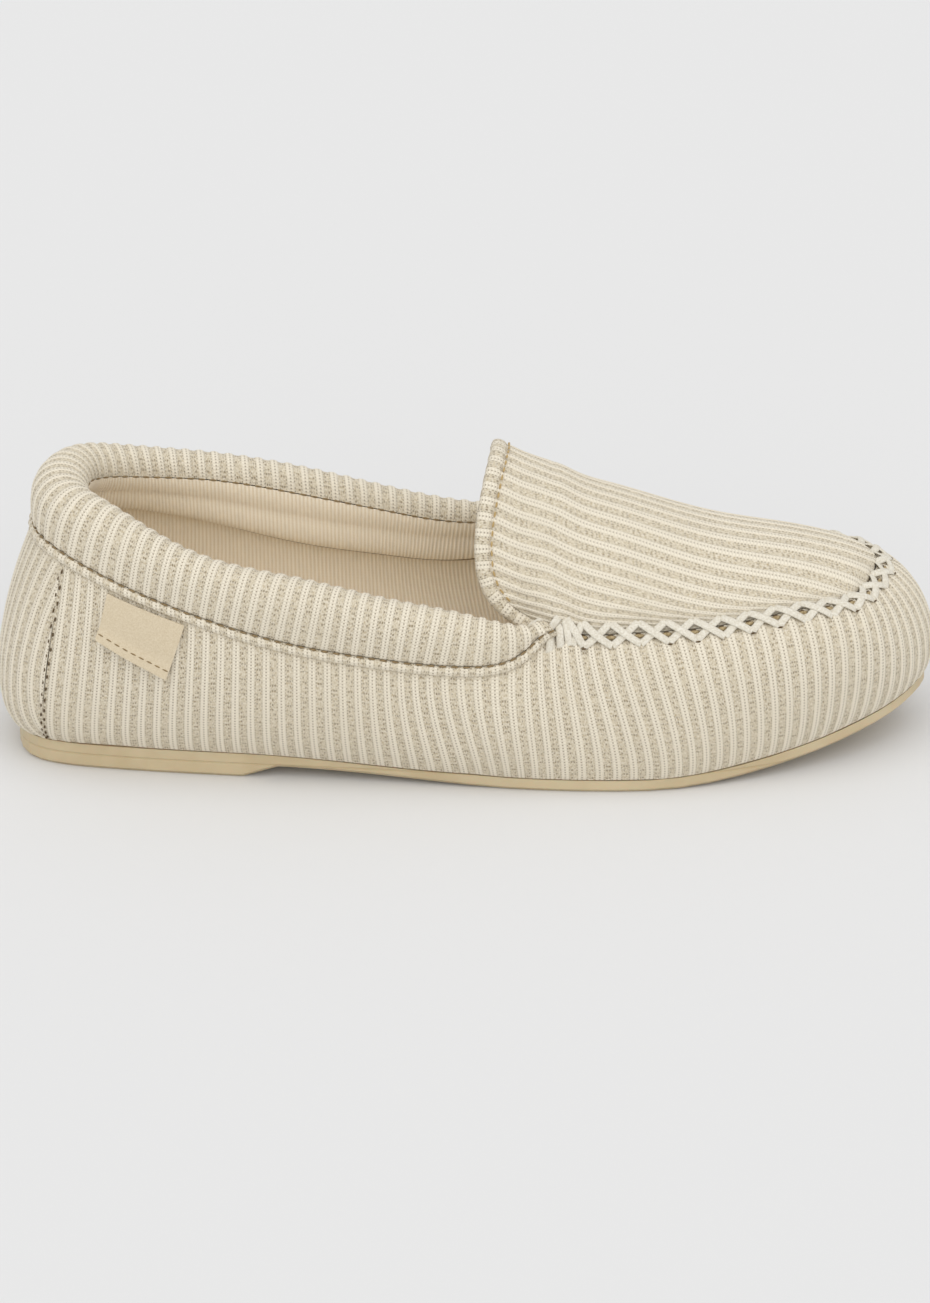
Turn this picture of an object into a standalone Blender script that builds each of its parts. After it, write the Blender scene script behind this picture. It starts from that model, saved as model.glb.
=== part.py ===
# Right moccasin slipper in ribbed knit: a soft hollow upper with a cross-stitched
# apron, a padded collar and a thin moulded sole with a low heel.
# Metres, +Z up, +X towards the toe, +Y towards the inner (medial) side of the foot.

import math

import bmesh
import bpy
import numpy as np

# Driving dimensions, in metres
SOLE_LENGTH = 0.2425      # outsole, heel to toe
BALL_WIDTH = 0.083        # outsole across the ball
SEAM_HEIGHT = 0.045       # apron seam over the floor
INSTEP_HEIGHT = 0.082     # top of the apron at the throat over the floor
BACK_HEIGHT = 0.079       # top of the collar at the heel over the floor
TOE_SPRING = 0.0125       # underside of the toe tip over the floor
HEEL_THICKNESS = 0.0070   # moulded heel, with the sole above it
SOLE_THICKNESS = 0.0035   # sole in front of the heel
WAIST_RISE = 0.0033       # underside of the waist over the floor
HEEL_LENGTH = 0.0605      # flat of the heel, from the back of the sole
BREAST_LENGTH = 0.0095    # slope at the front of the heel
SOLE_EDGE = 0.0010        # rounding of the sole's lower edge
WALL = 0.0025             # knit with its bonded lining
SWELL = 0.010             # how far the soft wall swells out
COLLAR_THICKNESS = 0.0110
COLLAR_LOWEST = 0.0010    # height of the collar where it runs out at the throat
PIPING_WIDTH = 0.0024
PIPING_PROUD = 0.0006     # how far the piping stands out of the wall
BINDING_WIDTH = 0.0036
BINDING_PROUD = 0.0006    # how far the binding stands out on each face of the apron
INSOLE_THICKNESS = 0.0040
INSOLE_CLEARANCE = 0.0010 # sideways, between the insole and the wall
LABEL_THICKNESS = 0.0009
GAP = 0.0003              # clearance between pieces that touch

# How far round the shoe the collar and the seam reach: 0 is the back of the heel
# and 1 the tip of the toe, along the outer side; 2 is the heel again.
THROAT_CORNER = 0.59
COLLAR_END = 1.00        # share of the way to the throat corner

# Edge of the sole. Along is a share of SOLE_LENGTH, across a share of BALL_WIDTH.
SOLE_COLUMNS = ("around", "outer_along", "outer_across", "inner_along", "inner_across")
SOLE_ROWS = (
    (0.000, 0.000, 0.000, 0.000, 0.000),
    (0.070, 0.019, -0.199, 0.019, 0.199),
    (0.140, 0.095, -0.281, 0.095, 0.285),
    (0.225, 0.198, -0.326, 0.198, 0.304),
    (0.320, 0.309, -0.363, 0.309, 0.298),
    (0.410, 0.412, -0.396, 0.412, 0.314),
    (0.500, 0.516, -0.434, 0.516, 0.369),
    (0.590, 0.614, -0.461, 0.614, 0.458),
    (0.670, 0.705, -0.457, 0.705, 0.524),
    (0.750, 0.790, -0.398, 0.796, 0.537),
    (0.825, 0.865, -0.316, 0.878, 0.477),
    (0.900, 0.930, -0.214, 0.951, 0.337),
    (0.955, 0.975, -0.100, 0.990, 0.169),
    (1.000, 1.000, 0.040, 1.000, 0.040),
)

# Upper edge of the wall: the collar's piping as far as the throat corner, and then
# the apron seam. The height is a share of BACK_HEIGHT plus a share of SEAM_HEIGHT,
# and lean is the tilt of the edge's face, in degrees.
RIM_COLUMNS = (
    "around", "outer_along", "outer_across", "inner_along", "inner_across",
    "outer_of_back", "inner_of_back", "outer_of_seam", "inner_of_seam", "lean",
)
RIM_ROWS = (
    (0.000, 0.023, 0.000, 0.023, 0.000, 0.771, 0.771, 0.00, 0.00, 5),
    (0.070, 0.043, -0.211, 0.043, 0.211, 0.765, 0.775, 0.00, 0.00, 5),
    (0.140, 0.111, -0.343, 0.111, 0.335, 0.695, 0.730, 0.00, 0.00, 5),
    (0.225, 0.206, -0.410, 0.206, 0.385, 0.592, 0.640, 0.00, 0.00, 5),
    (0.320, 0.309, -0.439, 0.309, 0.412, 0.502, 0.540, 0.00, 0.00, 5),
    (0.410, 0.404, -0.460, 0.404, 0.443, 0.456, 0.480, 0.00, 0.00, 5),
    (0.490, 0.485, -0.470, 0.485, 0.465, 0.434, 0.452, 0.00, 0.00, 10),
    (0.545, 0.553, -0.455, 0.551, 0.460, 0.210, 0.220, 0.45, 0.48, 24),
    (0.590, 0.591, -0.398, 0.590, 0.415, 0.000, 0.000, 0.98, 1.01, 40),
    (0.625, 0.617, -0.393, 0.617, 0.415, 0.000, 0.000, 0.97, 1.00, 45),
    (0.670, 0.660, -0.392, 0.660, 0.416, 0.000, 0.000, 0.97, 1.00, 50),
    (0.750, 0.759, -0.355, 0.759, 0.398, 0.000, 0.000, 0.98, 1.00, 52),
    (0.825, 0.845, -0.298, 0.845, 0.350, 0.000, 0.000, 1.03, 1.02, 55),
    (0.900, 0.913, -0.193, 0.913, 0.259, 0.000, 0.000, 1.04, 1.04, 58),
    (0.955, 0.938, -0.060, 0.938, 0.165, 0.000, 0.000, 1.05, 1.05, 60),
    (1.000, 0.946, 0.060, 0.946, 0.060, 0.000, 0.000, 1.06, 1.06, 60),
)

# Swell of the wall between the sole and the rim. Out is a share of SWELL, and up and
# down are shares of the wall's height there.
WALL_COLUMNS = ("around", "outer_low_out", "inner_low_out", "low_up", "high_out", "high_down")
WALL_ROWS = (
    (0.000, 0.90, 0.90, 0.09, 0.97, 0.40),
    (0.070, 0.88, 0.88, 0.10, 0.85, 0.40),
    (0.140, 0.80, 0.80, 0.13, 0.60, 0.40),
    (0.225, 0.65, 0.75, 0.20, 0.40, 0.38),
    (0.320, 0.60, 0.85, 0.25, 0.30, 0.36),
    (0.410, 0.60, 0.90, 0.28, 0.30, 0.36),
    (0.490, 0.60, 0.85, 0.28, 0.35, 0.34),
    (0.590, 0.60, 0.65, 0.30, 0.75, 0.24),
    (0.670, 0.60, 0.60, 0.30, 1.00, 0.16),
    (0.750, 0.60, 0.55, 0.30, 1.10, 0.14),
    (0.825, 0.60, 0.50, 0.28, 1.20, 0.14),
    (0.900, 0.55, 0.50, 0.26, 1.30, 0.14),
    (1.000, 0.50, 0.50, 0.25, 1.36, 0.14),
)

# Highest line of the padded collar. The height is made up as the rim's is, and
# thickness is a share of COLLAR_THICKNESS.
CREST_COLUMNS = (
    "around", "outer_along", "outer_across", "inner_along", "inner_across",
    "outer_of_back", "inner_of_back", "outer_of_seam", "inner_of_seam", "thickness",
)
CREST_ROWS = (
    (0.000, 0.061, 0.000, 0.061, 0.000, 1.000, 1.000, 0.00, 0.00, 1.30),
    (0.070, 0.078, -0.136, 0.078, 0.125, 0.990, 1.004, 0.00, 0.00, 1.22),
    (0.140, 0.120, -0.247, 0.120, 0.223, 0.950, 0.960, 0.00, 0.00, 1.05),
    (0.225, 0.206, -0.346, 0.206, 0.329, 0.825, 0.882, 0.00, 0.00, 1.00),
    (0.320, 0.309, -0.386, 0.309, 0.380, 0.754, 0.801, 0.00, 0.00, 1.00),
    (0.410, 0.408, -0.407, 0.408, 0.410, 0.687, 0.711, 0.00, 0.00, 0.95),
    (0.490, 0.491, -0.419, 0.491, 0.428, 0.639, 0.651, 0.00, 0.00, 0.80),
    (0.545, 0.545, -0.425, 0.545, 0.434, 0.300, 0.310, 0.53, 0.56, 0.50),
    (0.590, 0.588, -0.410, 0.588, 0.422, 0.000, 0.000, 1.02, 1.05, 0.35),
)

# Section of the collar: out is a share of its thickness, up of its height
COLLAR_SECTION = (
    (0.00, 0.00), (0.10, 0.20), (0.14, 0.46), (0.08, 0.72), (-0.10, 0.92), (-0.36, 1.00),
    (-0.62, 0.95), (-0.80, 0.80), (-0.86, 0.56), (-0.74, 0.28), (-0.50, 0.06), (-0.25, 0.00),
)
CREST_OUT = -0.36        # where the highest line lies in the section

# Middle line of the apron, from the middle of the chord between its two edges. Share is
# 0 at the throat corner and 1 at the toe end of the seam. Ahead is a share of
# SOLE_LENGTH, aside of BALL_WIDTH and rise of INSTEP_HEIGHT over SEAM_HEIGHT; arch
# shapes the section.
RIDGE_COLUMNS = ("share", "ahead", "aside", "rise", "arch")
RIDGE_ROWS = (
    (-0.200, 0.000, 0.010, 1.03, 2.3),
    (-0.120, 0.000, 0.010, 0.96, 2.3),
    (0.000, 0.000, 0.010, 0.82, 2.2),
    (0.090, 0.000, 0.010, 0.745, 2.1),
    (0.195, 0.000, 0.010, 0.645, 2.1),
    (0.390, 0.000, 0.010, 0.42, 2.0),
    (0.573, 0.000, 0.008, 0.27, 2.0),
    (0.756, 0.000, 0.005, 0.14, 2.0),
    (0.890, 0.000, 0.000, 0.05, 2.0),
    (1.000, 0.000, 0.000, 0.00, 2.0),
)

# Share at which the apron's knit begins, for a place across it
THROAT_COLUMNS = ("across", "outer", "inner")
THROAT_ROWS = (
    (0.000, -0.145, -0.145), (0.250, -0.158, -0.145), (0.460, -0.178, -0.148),
    (0.660, -0.202, -0.152), (0.750, -0.208, -0.152), (0.830, -0.203, -0.148),
    (0.890, -0.182, -0.138), (0.930, -0.145, -0.115), (0.965, -0.090, -0.075),
    (1.000, 0.000, 0.000),
)
CORNER_TUCK = 0.0060     # how far the apron's rear corners lie inside the collar
TUCKED_BY = -0.10        # share at which they lie all the way in
BINDING_REACH = 0.985    # how far across the apron the binding runs, to either side
EDGE_TURN = 0.0070       # how far from the seam the apron's edge turns to meet the rim

# Corners of the label on the outer side of the wall, as (around, share of wall height)
LABEL_CORNERS = ((0.134, 0.774), (0.200, 0.674), (0.214, 0.985), (0.141, 0.985))

# Fineness of the solids
WALL_ROWS_UP = 9
COLLAR_STEPS = 24        # from the heel to the throat corner, on each side
APRON_STEPS = 22         # from the throat corner to the toe
APRON_ACROSS = 20
SOLE_STEPS = 40
BINDING_STEPS = 30
NEAR = 0.02              # share to either side at which the apron's slope is read


def tidy_scene():
    for item in list(bpy.data.objects):
        bpy.data.objects.remove(item)


def cubic(knots, values, period=None):
    """Smooth curve through values at knots; closed when it has a period."""
    t = np.array(knots, float)
    v = np.array(values, float)
    if period:
        t = np.append(t, t[0] + period)
        v = np.vstack([v, v[:1]])
    n = len(t)
    h = np.diff(t)
    a = np.zeros((n, n))
    b = np.zeros((n, v.shape[1]))
    for i in range(1, n - 1):
        a[i, i - 1], a[i, i], a[i, i + 1] = h[i - 1], 2 * (h[i - 1] + h[i]), h[i]
        b[i] = 6 * ((v[i + 1] - v[i]) / h[i] - (v[i] - v[i - 1]) / h[i - 1])
    if period:
        a[0, 0], a[0, n - 1] = 1, -1
        a[n - 1, 0], a[n - 1, 1] = 2 * h[0], h[0]
        a[n - 1, n - 2], a[n - 1, n - 1] = h[-1], 2 * h[-1]
        b[n - 1] = 6 * ((v[1] - v[0]) / h[0] - (v[-1] - v[-2]) / h[-1])
    else:
        a[0, 0] = a[n - 1, n - 1] = 1
    m = np.linalg.solve(a, b)

    def at(x):
        if period:
            x = t[0] + (x - t[0]) % period
        i = int(min(max(np.searchsorted(t, x) - 1, 0), n - 2))
        u, w = t[i + 1] - x, x - t[i]
        return (
            (m[i] * u ** 3 + m[i + 1] * w ** 3) / (6 * h[i])
            + (v[i] / h[i] - m[i] * h[i] / 6) * u
            + (v[i + 1] / h[i] - m[i + 1] * h[i] / 6) * w
        )

    return at


def ring_table(columns, rows, outer, inner):
    """Closed curve through the outer side's columns and back through the inner side's."""
    place = {name: k for k, name in enumerate(columns)}
    knots, values = [], []
    for row in rows:
        knots.append(row[0])
        values.append([row[place[name]] for name in outer])
    for row in reversed(rows[1:-1]):
        knots.append(2 - row[0])
        values.append([row[place[name]] for name in inner])
    return cubic(knots, values, period=2)


def side_table(columns, rows, outer, inner):
    """Open curve from the inner side's far end, past the heel, to the outer side's."""
    place = {name: k for k, name in enumerate(columns)}
    knots, values = [], []
    for row in reversed(rows[1:]):
        knots.append(-row[0])
        values.append([row[place[name]] for name in inner])
    for row in rows:
        knots.append(row[0])
        values.append([row[place[name]] for name in outer])
    return cubic(knots, values)


sole_curve = ring_table(
    SOLE_COLUMNS, SOLE_ROWS, ("outer_along", "outer_across"), ("inner_along", "inner_across")
)
rim_curve = ring_table(
    RIM_COLUMNS, RIM_ROWS,
    ("outer_along", "outer_across", "outer_of_back", "outer_of_seam", "lean"),
    ("inner_along", "inner_across", "inner_of_back", "inner_of_seam", "lean"),
)
swell_curve = ring_table(
    WALL_COLUMNS, WALL_ROWS,
    ("outer_low_out", "low_up", "high_out", "high_down"),
    ("inner_low_out", "low_up", "high_out", "high_down"),
)
crest_curve = side_table(
    CREST_COLUMNS, CREST_ROWS,
    ("outer_along", "outer_across", "outer_of_back", "outer_of_seam", "thickness"),
    ("inner_along", "inner_across", "inner_of_back", "inner_of_seam", "thickness"),
)
ridge_curve = cubic([row[0] for row in RIDGE_ROWS], [row[1:] for row in RIDGE_ROWS])


def unit(v):
    return v / max(np.linalg.norm(v), 1e-12)


def smooth(x):
    x = min(max(x, 0.0), 1.0)
    return x * x * (3 - 2 * x)


def sole_under(x):
    """Height of the sole's underside at a distance along the sole."""
    flat_from, flat_to = 0.57 * SOLE_LENGTH, 0.70 * SOLE_LENGTH
    breast = HEEL_LENGTH + BREAST_LENGTH
    if x <= HEEL_LENGTH:
        return 0.0
    if x <= breast:
        return WAIST_RISE * (x - HEEL_LENGTH) / BREAST_LENGTH
    if x <= flat_from:
        return WAIST_RISE * (1 - smooth((x - breast) / (flat_from - breast)))
    if x <= flat_to:
        return 0.0
    return TOE_SPRING * ((x - flat_to) / (SOLE_LENGTH - flat_to)) ** 1.7


def sole_top(x):
    """Height of the sole's upper face at a distance along the sole."""
    waist = 0.5 * SOLE_LENGTH
    if x <= HEEL_LENGTH:
        return HEEL_THICKNESS
    front = sole_under(x) + SOLE_THICKNESS
    if x >= waist:
        return front
    share = smooth((x - HEEL_LENGTH) / (waist - HEEL_LENGTH))
    return HEEL_THICKNESS * (1 - share) + (sole_under(waist) + SOLE_THICKNESS) * share


def sole_edge(around):
    x, y = sole_curve(around)
    return np.array([x * SOLE_LENGTH, y * BALL_WIDTH, 0.0])


def outward(around):
    """Level direction out of the shoe, square to the edge of the sole."""
    ahead = sole_edge(around + 0.004) - sole_edge(around - 0.004)
    return unit(np.array([ahead[1], -ahead[0], 0.0]))


def rim(around):
    x, y, of_back, of_seam, _ = rim_curve(around)
    return np.array([
        x * SOLE_LENGTH, y * BALL_WIDTH, of_back * BACK_HEIGHT + of_seam * SEAM_HEIGHT,
    ])


def rim_outward(around):
    """Level direction out of the shoe, square to the rim."""
    ahead = rim(around + 0.006) - rim(around - 0.006)
    return unit(np.array([ahead[1], -ahead[0], 0.0]))


def rim_through(around):
    """Direction through the thickness at the rim, pointing out."""
    lean = math.radians(rim_curve(around)[4])
    return unit(rim_outward(around) * math.cos(lean) + np.array([0, 0, math.sin(lean)]))


def wall(around, up):
    """Outer face of the wall: up is 0 at the sole and 1 at the rim."""
    low_out, low_up, high_out, high_down = swell_curve(around)
    out = outward(around)
    foot = sole_edge(around)
    foot[2] = sole_top(foot[0]) + GAP
    top = rim(around)
    rise = np.array([0, 0, top[2] - foot[2]])
    low = foot + out * low_out * SWELL + rise * low_up
    high = top + out * high_out * SWELL - rise * high_down
    keep = 1 - up
    return keep ** 3 * foot + 3 * keep ** 2 * up * low + 3 * keep * up ** 2 * high + up ** 3 * top


def surface_normal(face, u, v, du, dv, out):
    """Unit normal of a surface function, on the side that out points to."""
    across = face(u + du, v) - face(u - du, v)
    along = face(u, min(v + dv, 1.0)) - face(u, max(v - dv, 0.0))
    normal = unit(np.cross(across, along))
    return normal if normal @ out >= 0 else -normal


def wall_normal(around, up):
    return surface_normal(wall, around, up, 0.004, 0.02, outward(around))


def seam_point(side, share):
    """Edge of the apron, on the outer side where side is -1 and the inner where it is 1."""
    at = THROAT_CORNER + (1 - THROAT_CORNER) * max(share, 0.0)
    around = at if side < 0 else 2 - at
    point = rim(around) - rim_outward(around) * GAP
    if share < 0:
        step = 0.03
        ahead = rim(around + step if side < 0 else around - step) - rim(around)
        ahead[2] = 0
        point = point + ahead * (share * (1 - THROAT_CORNER) / step)
        point = point - rim_outward(around) * CORNER_TUCK * smooth(share / TUCKED_BY)
    return point, around


def apron(share, across):
    """Outer face of the apron: across runs from -1, outer side, to 1, inner side."""
    ahead, aside, rise, arch = ridge_curve(share)
    lift = np.array([
        ahead * SOLE_LENGTH, aside * BALL_WIDTH, rise * (INSTEP_HEIGHT - SEAM_HEIGHT),
    ])
    outer, _ = seam_point(-1, share)
    inner, _ = seam_point(1, share)
    chord = outer * (1 - across) / 2 + inner * (1 + across) / 2
    return chord + lift * (1 - abs(across) ** arch)


def throat_share(across):
    """Share at which the apron begins on the line at across."""
    places, outer, inner = zip(*THROAT_ROWS)
    return float(np.interp(abs(across), places, outer if across < 0 else inner))


def apron_normal(share, across):
    left = apron(share, max(across - NEAR, -1.0))
    right = apron(share, min(across + NEAR, 1.0))
    ahead = apron(min(share + NEAR / 2, 1.0), across) - apron(share - NEAR / 2, across)
    normal = unit(np.cross(ahead, right - left))
    return normal if normal[2] >= 0 else -normal


def apron_through(share, across):
    """Direction through the apron, turning to the rim's own near the seam."""
    edge, around = seam_point(-1 if across < 0 else 1, share)
    inside = smooth(np.linalg.norm(apron(share, across) - edge) / EDGE_TURN)
    if inside == 0:
        return rim_through(around)
    return unit(apron_normal(share, across) * inside + rim_through(around) * (1 - inside))


def mesh_object(name, points, faces, colour, roughness):
    mesh = bpy.data.meshes.new(name)
    mesh.from_pydata([tuple(p) for p in points], [], faces)
    solid = bmesh.new()
    solid.from_mesh(mesh)
    bmesh.ops.remove_doubles(solid, verts=solid.verts, dist=1e-6)
    bmesh.ops.dissolve_degenerate(solid, edges=solid.edges, dist=1e-6)
    bmesh.ops.triangulate(solid, faces=solid.faces)
    bmesh.ops.recalc_face_normals(solid, faces=solid.faces)
    solid.to_mesh(mesh)
    solid.free()
    mesh.shade_smooth()
    mesh.set_sharp_from_angle(angle=math.radians(40))
    made = bpy.data.objects.new(name, mesh)
    bpy.context.scene.collection.objects.link(made)
    mesh.materials.append(material(name, colour, roughness))
    return made


def material(name, colour, roughness):
    made = bpy.data.materials.new(name)
    made.use_nodes = True
    shader = made.node_tree.nodes["Principled BSDF"]
    shader.inputs["Base Color"].default_value = (*colour, 1.0)
    shader.inputs["Roughness"].default_value = roughness
    shader.inputs["Metallic"].default_value = 0.0
    return made


def shell(outer, inner, closed):
    """Closed solid between two grids of points; closed joins the last row to the first."""
    rows, columns = len(outer), len(outer[0])
    points = [p for row in outer for p in row] + [p for row in inner for p in row]
    back = rows * columns
    faces = []
    for i in range(rows if closed else rows - 1):
        j = (i + 1) % rows
        for k in range(columns - 1):
            a, b = i * columns + k, i * columns + k + 1
            c, d = j * columns + k + 1, j * columns + k
            faces.append((a, b, c, d))
            faces.append((back + d, back + c, back + b, back + a))
        for k in (0, columns - 1):
            a, d = i * columns + k, j * columns + k
            faces.append((a, d, back + d, back + a))
    if not closed:
        for i in (0, rows - 1):
            for k in range(columns - 1):
                a, b = i * columns + k, i * columns + k + 1
                faces.append((a, b, back + b, back + a))
    return points, faces


def tube(sections):
    """Closed solid swept through a row of sections with as many points each."""
    count = len(sections[0])
    points = [p for section in sections for p in section]
    faces = [tuple(range(count)), tuple(reversed(range((len(sections) - 1) * count, len(points))))]
    for i in range(len(sections) - 1):
        for k in range(count):
            m = (k + 1) % count
            faces.append((i * count + k, i * count + m, (i + 1) * count + m, (i + 1) * count + k))
    return points, faces


def seam_spacing(step):
    """Share of the way along the seam at a step, closer together near the toe."""
    return 0.4 * step / APRON_STEPS + 0.6 * math.sin(math.pi / 2 * step / APRON_STEPS)


def wall_places():
    """Places round the shoe at which the wall has its columns."""
    side = [THROAT_CORNER * i / COLLAR_STEPS for i in range(COLLAR_STEPS)]
    side += [
        THROAT_CORNER + (1 - THROAT_CORNER) * seam_spacing(i) for i in range(APRON_STEPS + 1)
    ]
    return side + [2 - q for q in reversed(side[1:-1])]


def collar_places():
    """Places from one end of the collar to the other, in step with the wall's columns."""
    side = [THROAT_CORNER * i / COLLAR_STEPS for i in range(COLLAR_STEPS)]
    side = [q for q in side if q < (COLLAR_END - 0.005) * THROAT_CORNER]
    side.append(COLLAR_END * THROAT_CORNER)
    return [-q for q in reversed(side[1:])] + side


def make_upper():
    """The knit wall: vamp, quarters and heel panel as one hollow ring."""
    outer, inner = [], []
    for around in wall_places():
        outer_row, inner_row = [], []
        for k in range(WALL_ROWS_UP):
            up = k / (WALL_ROWS_UP - 1)
            point = wall(around, up)
            if k == WALL_ROWS_UP - 1:
                through = rim_through(around)
            else:
                through = wall_normal(around, up)
            if k == 0:
                through = unit(through * np.array([1, 1, 0]))
            outer_row.append(point)
            inner_row.append(point - through * WALL)
        outer.append(outer_row)
        inner.append(inner_row)
    points, faces = shell(outer, inner, closed=True)
    return mesh_object("upper", points, faces, (0.74, 0.68, 0.55), 0.9)


def make_apron():
    """The plug over the instep, seamed to the wall and open at the throat."""
    outer, inner = [], []
    for i in range(APRON_STEPS + 1):
        outer_row, inner_row = [], []
        for k in range(APRON_ACROSS + 1):
            across = math.sin(math.pi / 2 * (2 * k / APRON_ACROSS - 1))
            start = throat_share(across)
            share = start + (1 - start) * seam_spacing(i)
            point = apron(share, across)
            outer_row.append(point)
            inner_row.append(point - apron_through(share, across) * WALL)
        outer.append(outer_row)
        inner.append(inner_row)
    points, faces = shell(outer, inner, closed=False)
    return mesh_object("apron", points, faces, (0.78, 0.72, 0.60), 0.9)


def rim_frame(around):
    """Base, direction up the collar, direction out, height and thickness at a place."""
    base = rim(around)
    x, y, of_back, of_seam, thickness = crest_curve(around)
    thickness = thickness * COLLAR_THICKNESS
    out = rim_outward(around)
    height = of_back * BACK_HEIGHT + of_seam * SEAM_HEIGHT
    top = np.array([x * SOLE_LENGTH, y * BALL_WIDTH, height])
    top = top - out * CREST_OUT * thickness
    up = unit(top - base)
    out = unit(out - up * (out @ up))
    return base, up, out, np.linalg.norm(top - base), thickness


def make_collar():
    """The padded cuff round the foot opening."""
    sections = []
    foot = GAP + PIPING_WIDTH + GAP
    for around in collar_places():
        base, up, out, height, thickness = rim_frame(around)
        height = max(height - foot, COLLAR_LOWEST)
        section = []
        for side, rise in COLLAR_SECTION:
            free = smooth(rise / 0.3)
            across = unit(out * free + rim_through(around) * (1 - free))
            section.append(base + up * (foot + rise * height) + across * side * thickness)
        sections.append(section)
    points, faces = tube(sections)
    return mesh_object("collar", points, faces, (0.76, 0.71, 0.59), 0.9)


def make_piping():
    """The folded strip between the wall and the collar."""
    sections = []
    shape = ((0.0, 0.0), (0.8, 0.15), (1.0, 0.5), (0.8, 0.85), (0.0, 1.0))
    for around in collar_places():
        base, up, out, _, _ = rim_frame(around)
        section = [
            base + up * (GAP + PIPING_WIDTH * rise) + out * PIPING_PROUD * side
            for side, rise in shape
        ]
        for rise in (1.0, 0.0):
            section.append(base + up * (GAP + PIPING_WIDTH * rise) - rim_through(around) * WALL)
        sections.append(section)
    points, faces = tube(sections)
    return mesh_object("collar_piping", points, faces, (0.72, 0.66, 0.53), 0.9)


def make_binding():
    """The bound edge of the apron at the throat."""
    sections = []
    shape = (
        (0.00, 1.0, 0.0), (0.25, 1.0, 0.8), (0.60, 1.0, 1.0), (0.90, 1.0, 0.6), (1.00, 0.5, 0.0),
        (0.90, 0.0, 0.6), (0.60, 0.0, 1.0), (0.25, 0.0, 0.8), (0.00, 0.0, 0.0),
    )
    for i in range(BINDING_STEPS + 1):
        across = BINDING_REACH * math.sin(math.pi / 2 * (2 * i / BINDING_STEPS - 1))
        share = throat_share(across)
        edge = apron(share, across)
        through = apron_through(share, across)
        ahead = apron(throat_share(across + 0.01), across + 0.01)
        ahead = ahead - apron(throat_share(across - 0.01), across - 0.01)
        back = unit(np.cross(through, ahead))
        if back @ (apron(share - 0.02, across) - apron(share + 0.02, across)) < 0:
            back = -back
        section = []
        for behind, face, proud in shape:
            depth = (1 - face) * WALL
            swell = BINDING_PROUD * proud * (1 if face == 1.0 else -1 if face == 0.0 else 0)
            section.append(edge + back * (GAP + BINDING_WIDTH * behind) - through * (depth - swell))
        sections.append(section)
    points, faces = tube(sections)
    return mesh_object("throat_binding", points, faces, (0.80, 0.73, 0.60), 0.85)


def edge_crossings(count, inset, extra=()):
    """Pairs of points on the two sides of the sole, at the same distance along it."""
    dense = np.linspace(0, 1, 801)
    outer_x = np.array([sole_edge(q)[0] for q in dense])
    inner_x = np.array([sole_edge(2 - q)[0] for q in dense])
    places = [SOLE_LENGTH * (1 - math.cos(math.pi * i / count)) / 2 for i in range(count + 1)]
    places = sorted(set(places) | set(extra))
    pairs = []
    for x in places:
        pair = []
        for side, xs in ((-1, outer_x), (1, inner_x)):
            around = float(np.interp(x, xs, dense))
            around = around if side < 0 else 2 - around
            pair.append(sole_edge(around) - outward(around) * inset)
        pairs.append(pair)
    return pairs


def make_outsole():
    """The moulded sole: a thin forepart and a low heel in one piece."""
    marks = (HEEL_LENGTH, HEEL_LENGTH + BREAST_LENGTH)
    rings = []
    edge = edge_crossings(SOLE_STEPS, 0.0, marks)
    under = edge_crossings(SOLE_STEPS, SOLE_EDGE, marks)
    for (outer, inner), (outer_in, inner_in) in zip(edge, under):
        ring = []
        for point, low in ((outer_in, True), (outer, True), (outer, False)):
            ring.append((point, low))
        for point, low in ((inner, False), (inner, True), (inner_in, True)):
            ring.append((point, low))
        section = []
        for index, (point, low) in enumerate(ring):
            z = sole_under(point[0]) if low else sole_top(point[0])
            if index in (1, 4):
                z += SOLE_EDGE
            section.append(np.array([point[0], point[1], z]))
        rings.append(section)
    points, faces = tube(rings)
    return mesh_object("outsole", points, faces, (0.70, 0.60, 0.41), 0.45)


def make_insole():
    """The soft footbed inside the wall, on top of the sole."""
    inset = WALL + INSOLE_CLEARANCE
    rings = []
    for outer, inner in edge_crossings(SOLE_STEPS, inset):
        section = []
        for point, rise in ((outer, 0), (outer, 1), (inner, 1), (inner, 0)):
            z = sole_top(point[0]) + GAP + rise * INSOLE_THICKNESS
            section.append(np.array([point[0], point[1], z]))
        rings.append(section)
    points, faces = tube(rings)
    return mesh_object("insole", points, faces, (0.66, 0.54, 0.38), 0.95)


def make_label():
    """The small folded tab sewn under the piping, left bare."""
    across_steps, up_steps = 6, 4
    outer, inner = [], []
    for i in range(across_steps + 1):
        outer_row, inner_row = [], []
        for k in range(up_steps + 1):
            s, t = i / across_steps, k / up_steps
            low = np.array(LABEL_CORNERS[0]) * (1 - s) + np.array(LABEL_CORNERS[1]) * s
            high = np.array(LABEL_CORNERS[3]) * (1 - s) + np.array(LABEL_CORNERS[2]) * s
            around, up = low * (1 - t) + high * t
            normal = wall_normal(around, up)
            inner_row.append(wall(around, up) + normal * GAP)
            outer_row.append(wall(around, up) + normal * (GAP + LABEL_THICKNESS))
        outer.append(outer_row)
        inner.append(inner_row)
    points, faces = shell(outer, inner, closed=False)
    return mesh_object("label", points, faces, (0.82, 0.75, 0.60), 0.7)


def centre_on_floor(made):
    """Moves every mesh so that the origin is under the middle of the shoe."""
    corners = np.array([v.co for item in made for v in item.data.vertices])
    low, high = corners.min(0), corners.max(0)
    shift = np.array([-(low[0] + high[0]) / 2, -(low[1] + high[1]) / 2, -low[2]])
    for item in made:
        for v in item.data.vertices:
            v.co = np.array(v.co) + shift
    return shift


def main():
    tidy_scene()
    made = [
        make_outsole(), make_insole(), make_upper(), make_apron(), make_binding(),
        make_piping(), make_collar(), make_label(),
    ]
    return made, centre_on_floor(made)


main()
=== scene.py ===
import math

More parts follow.
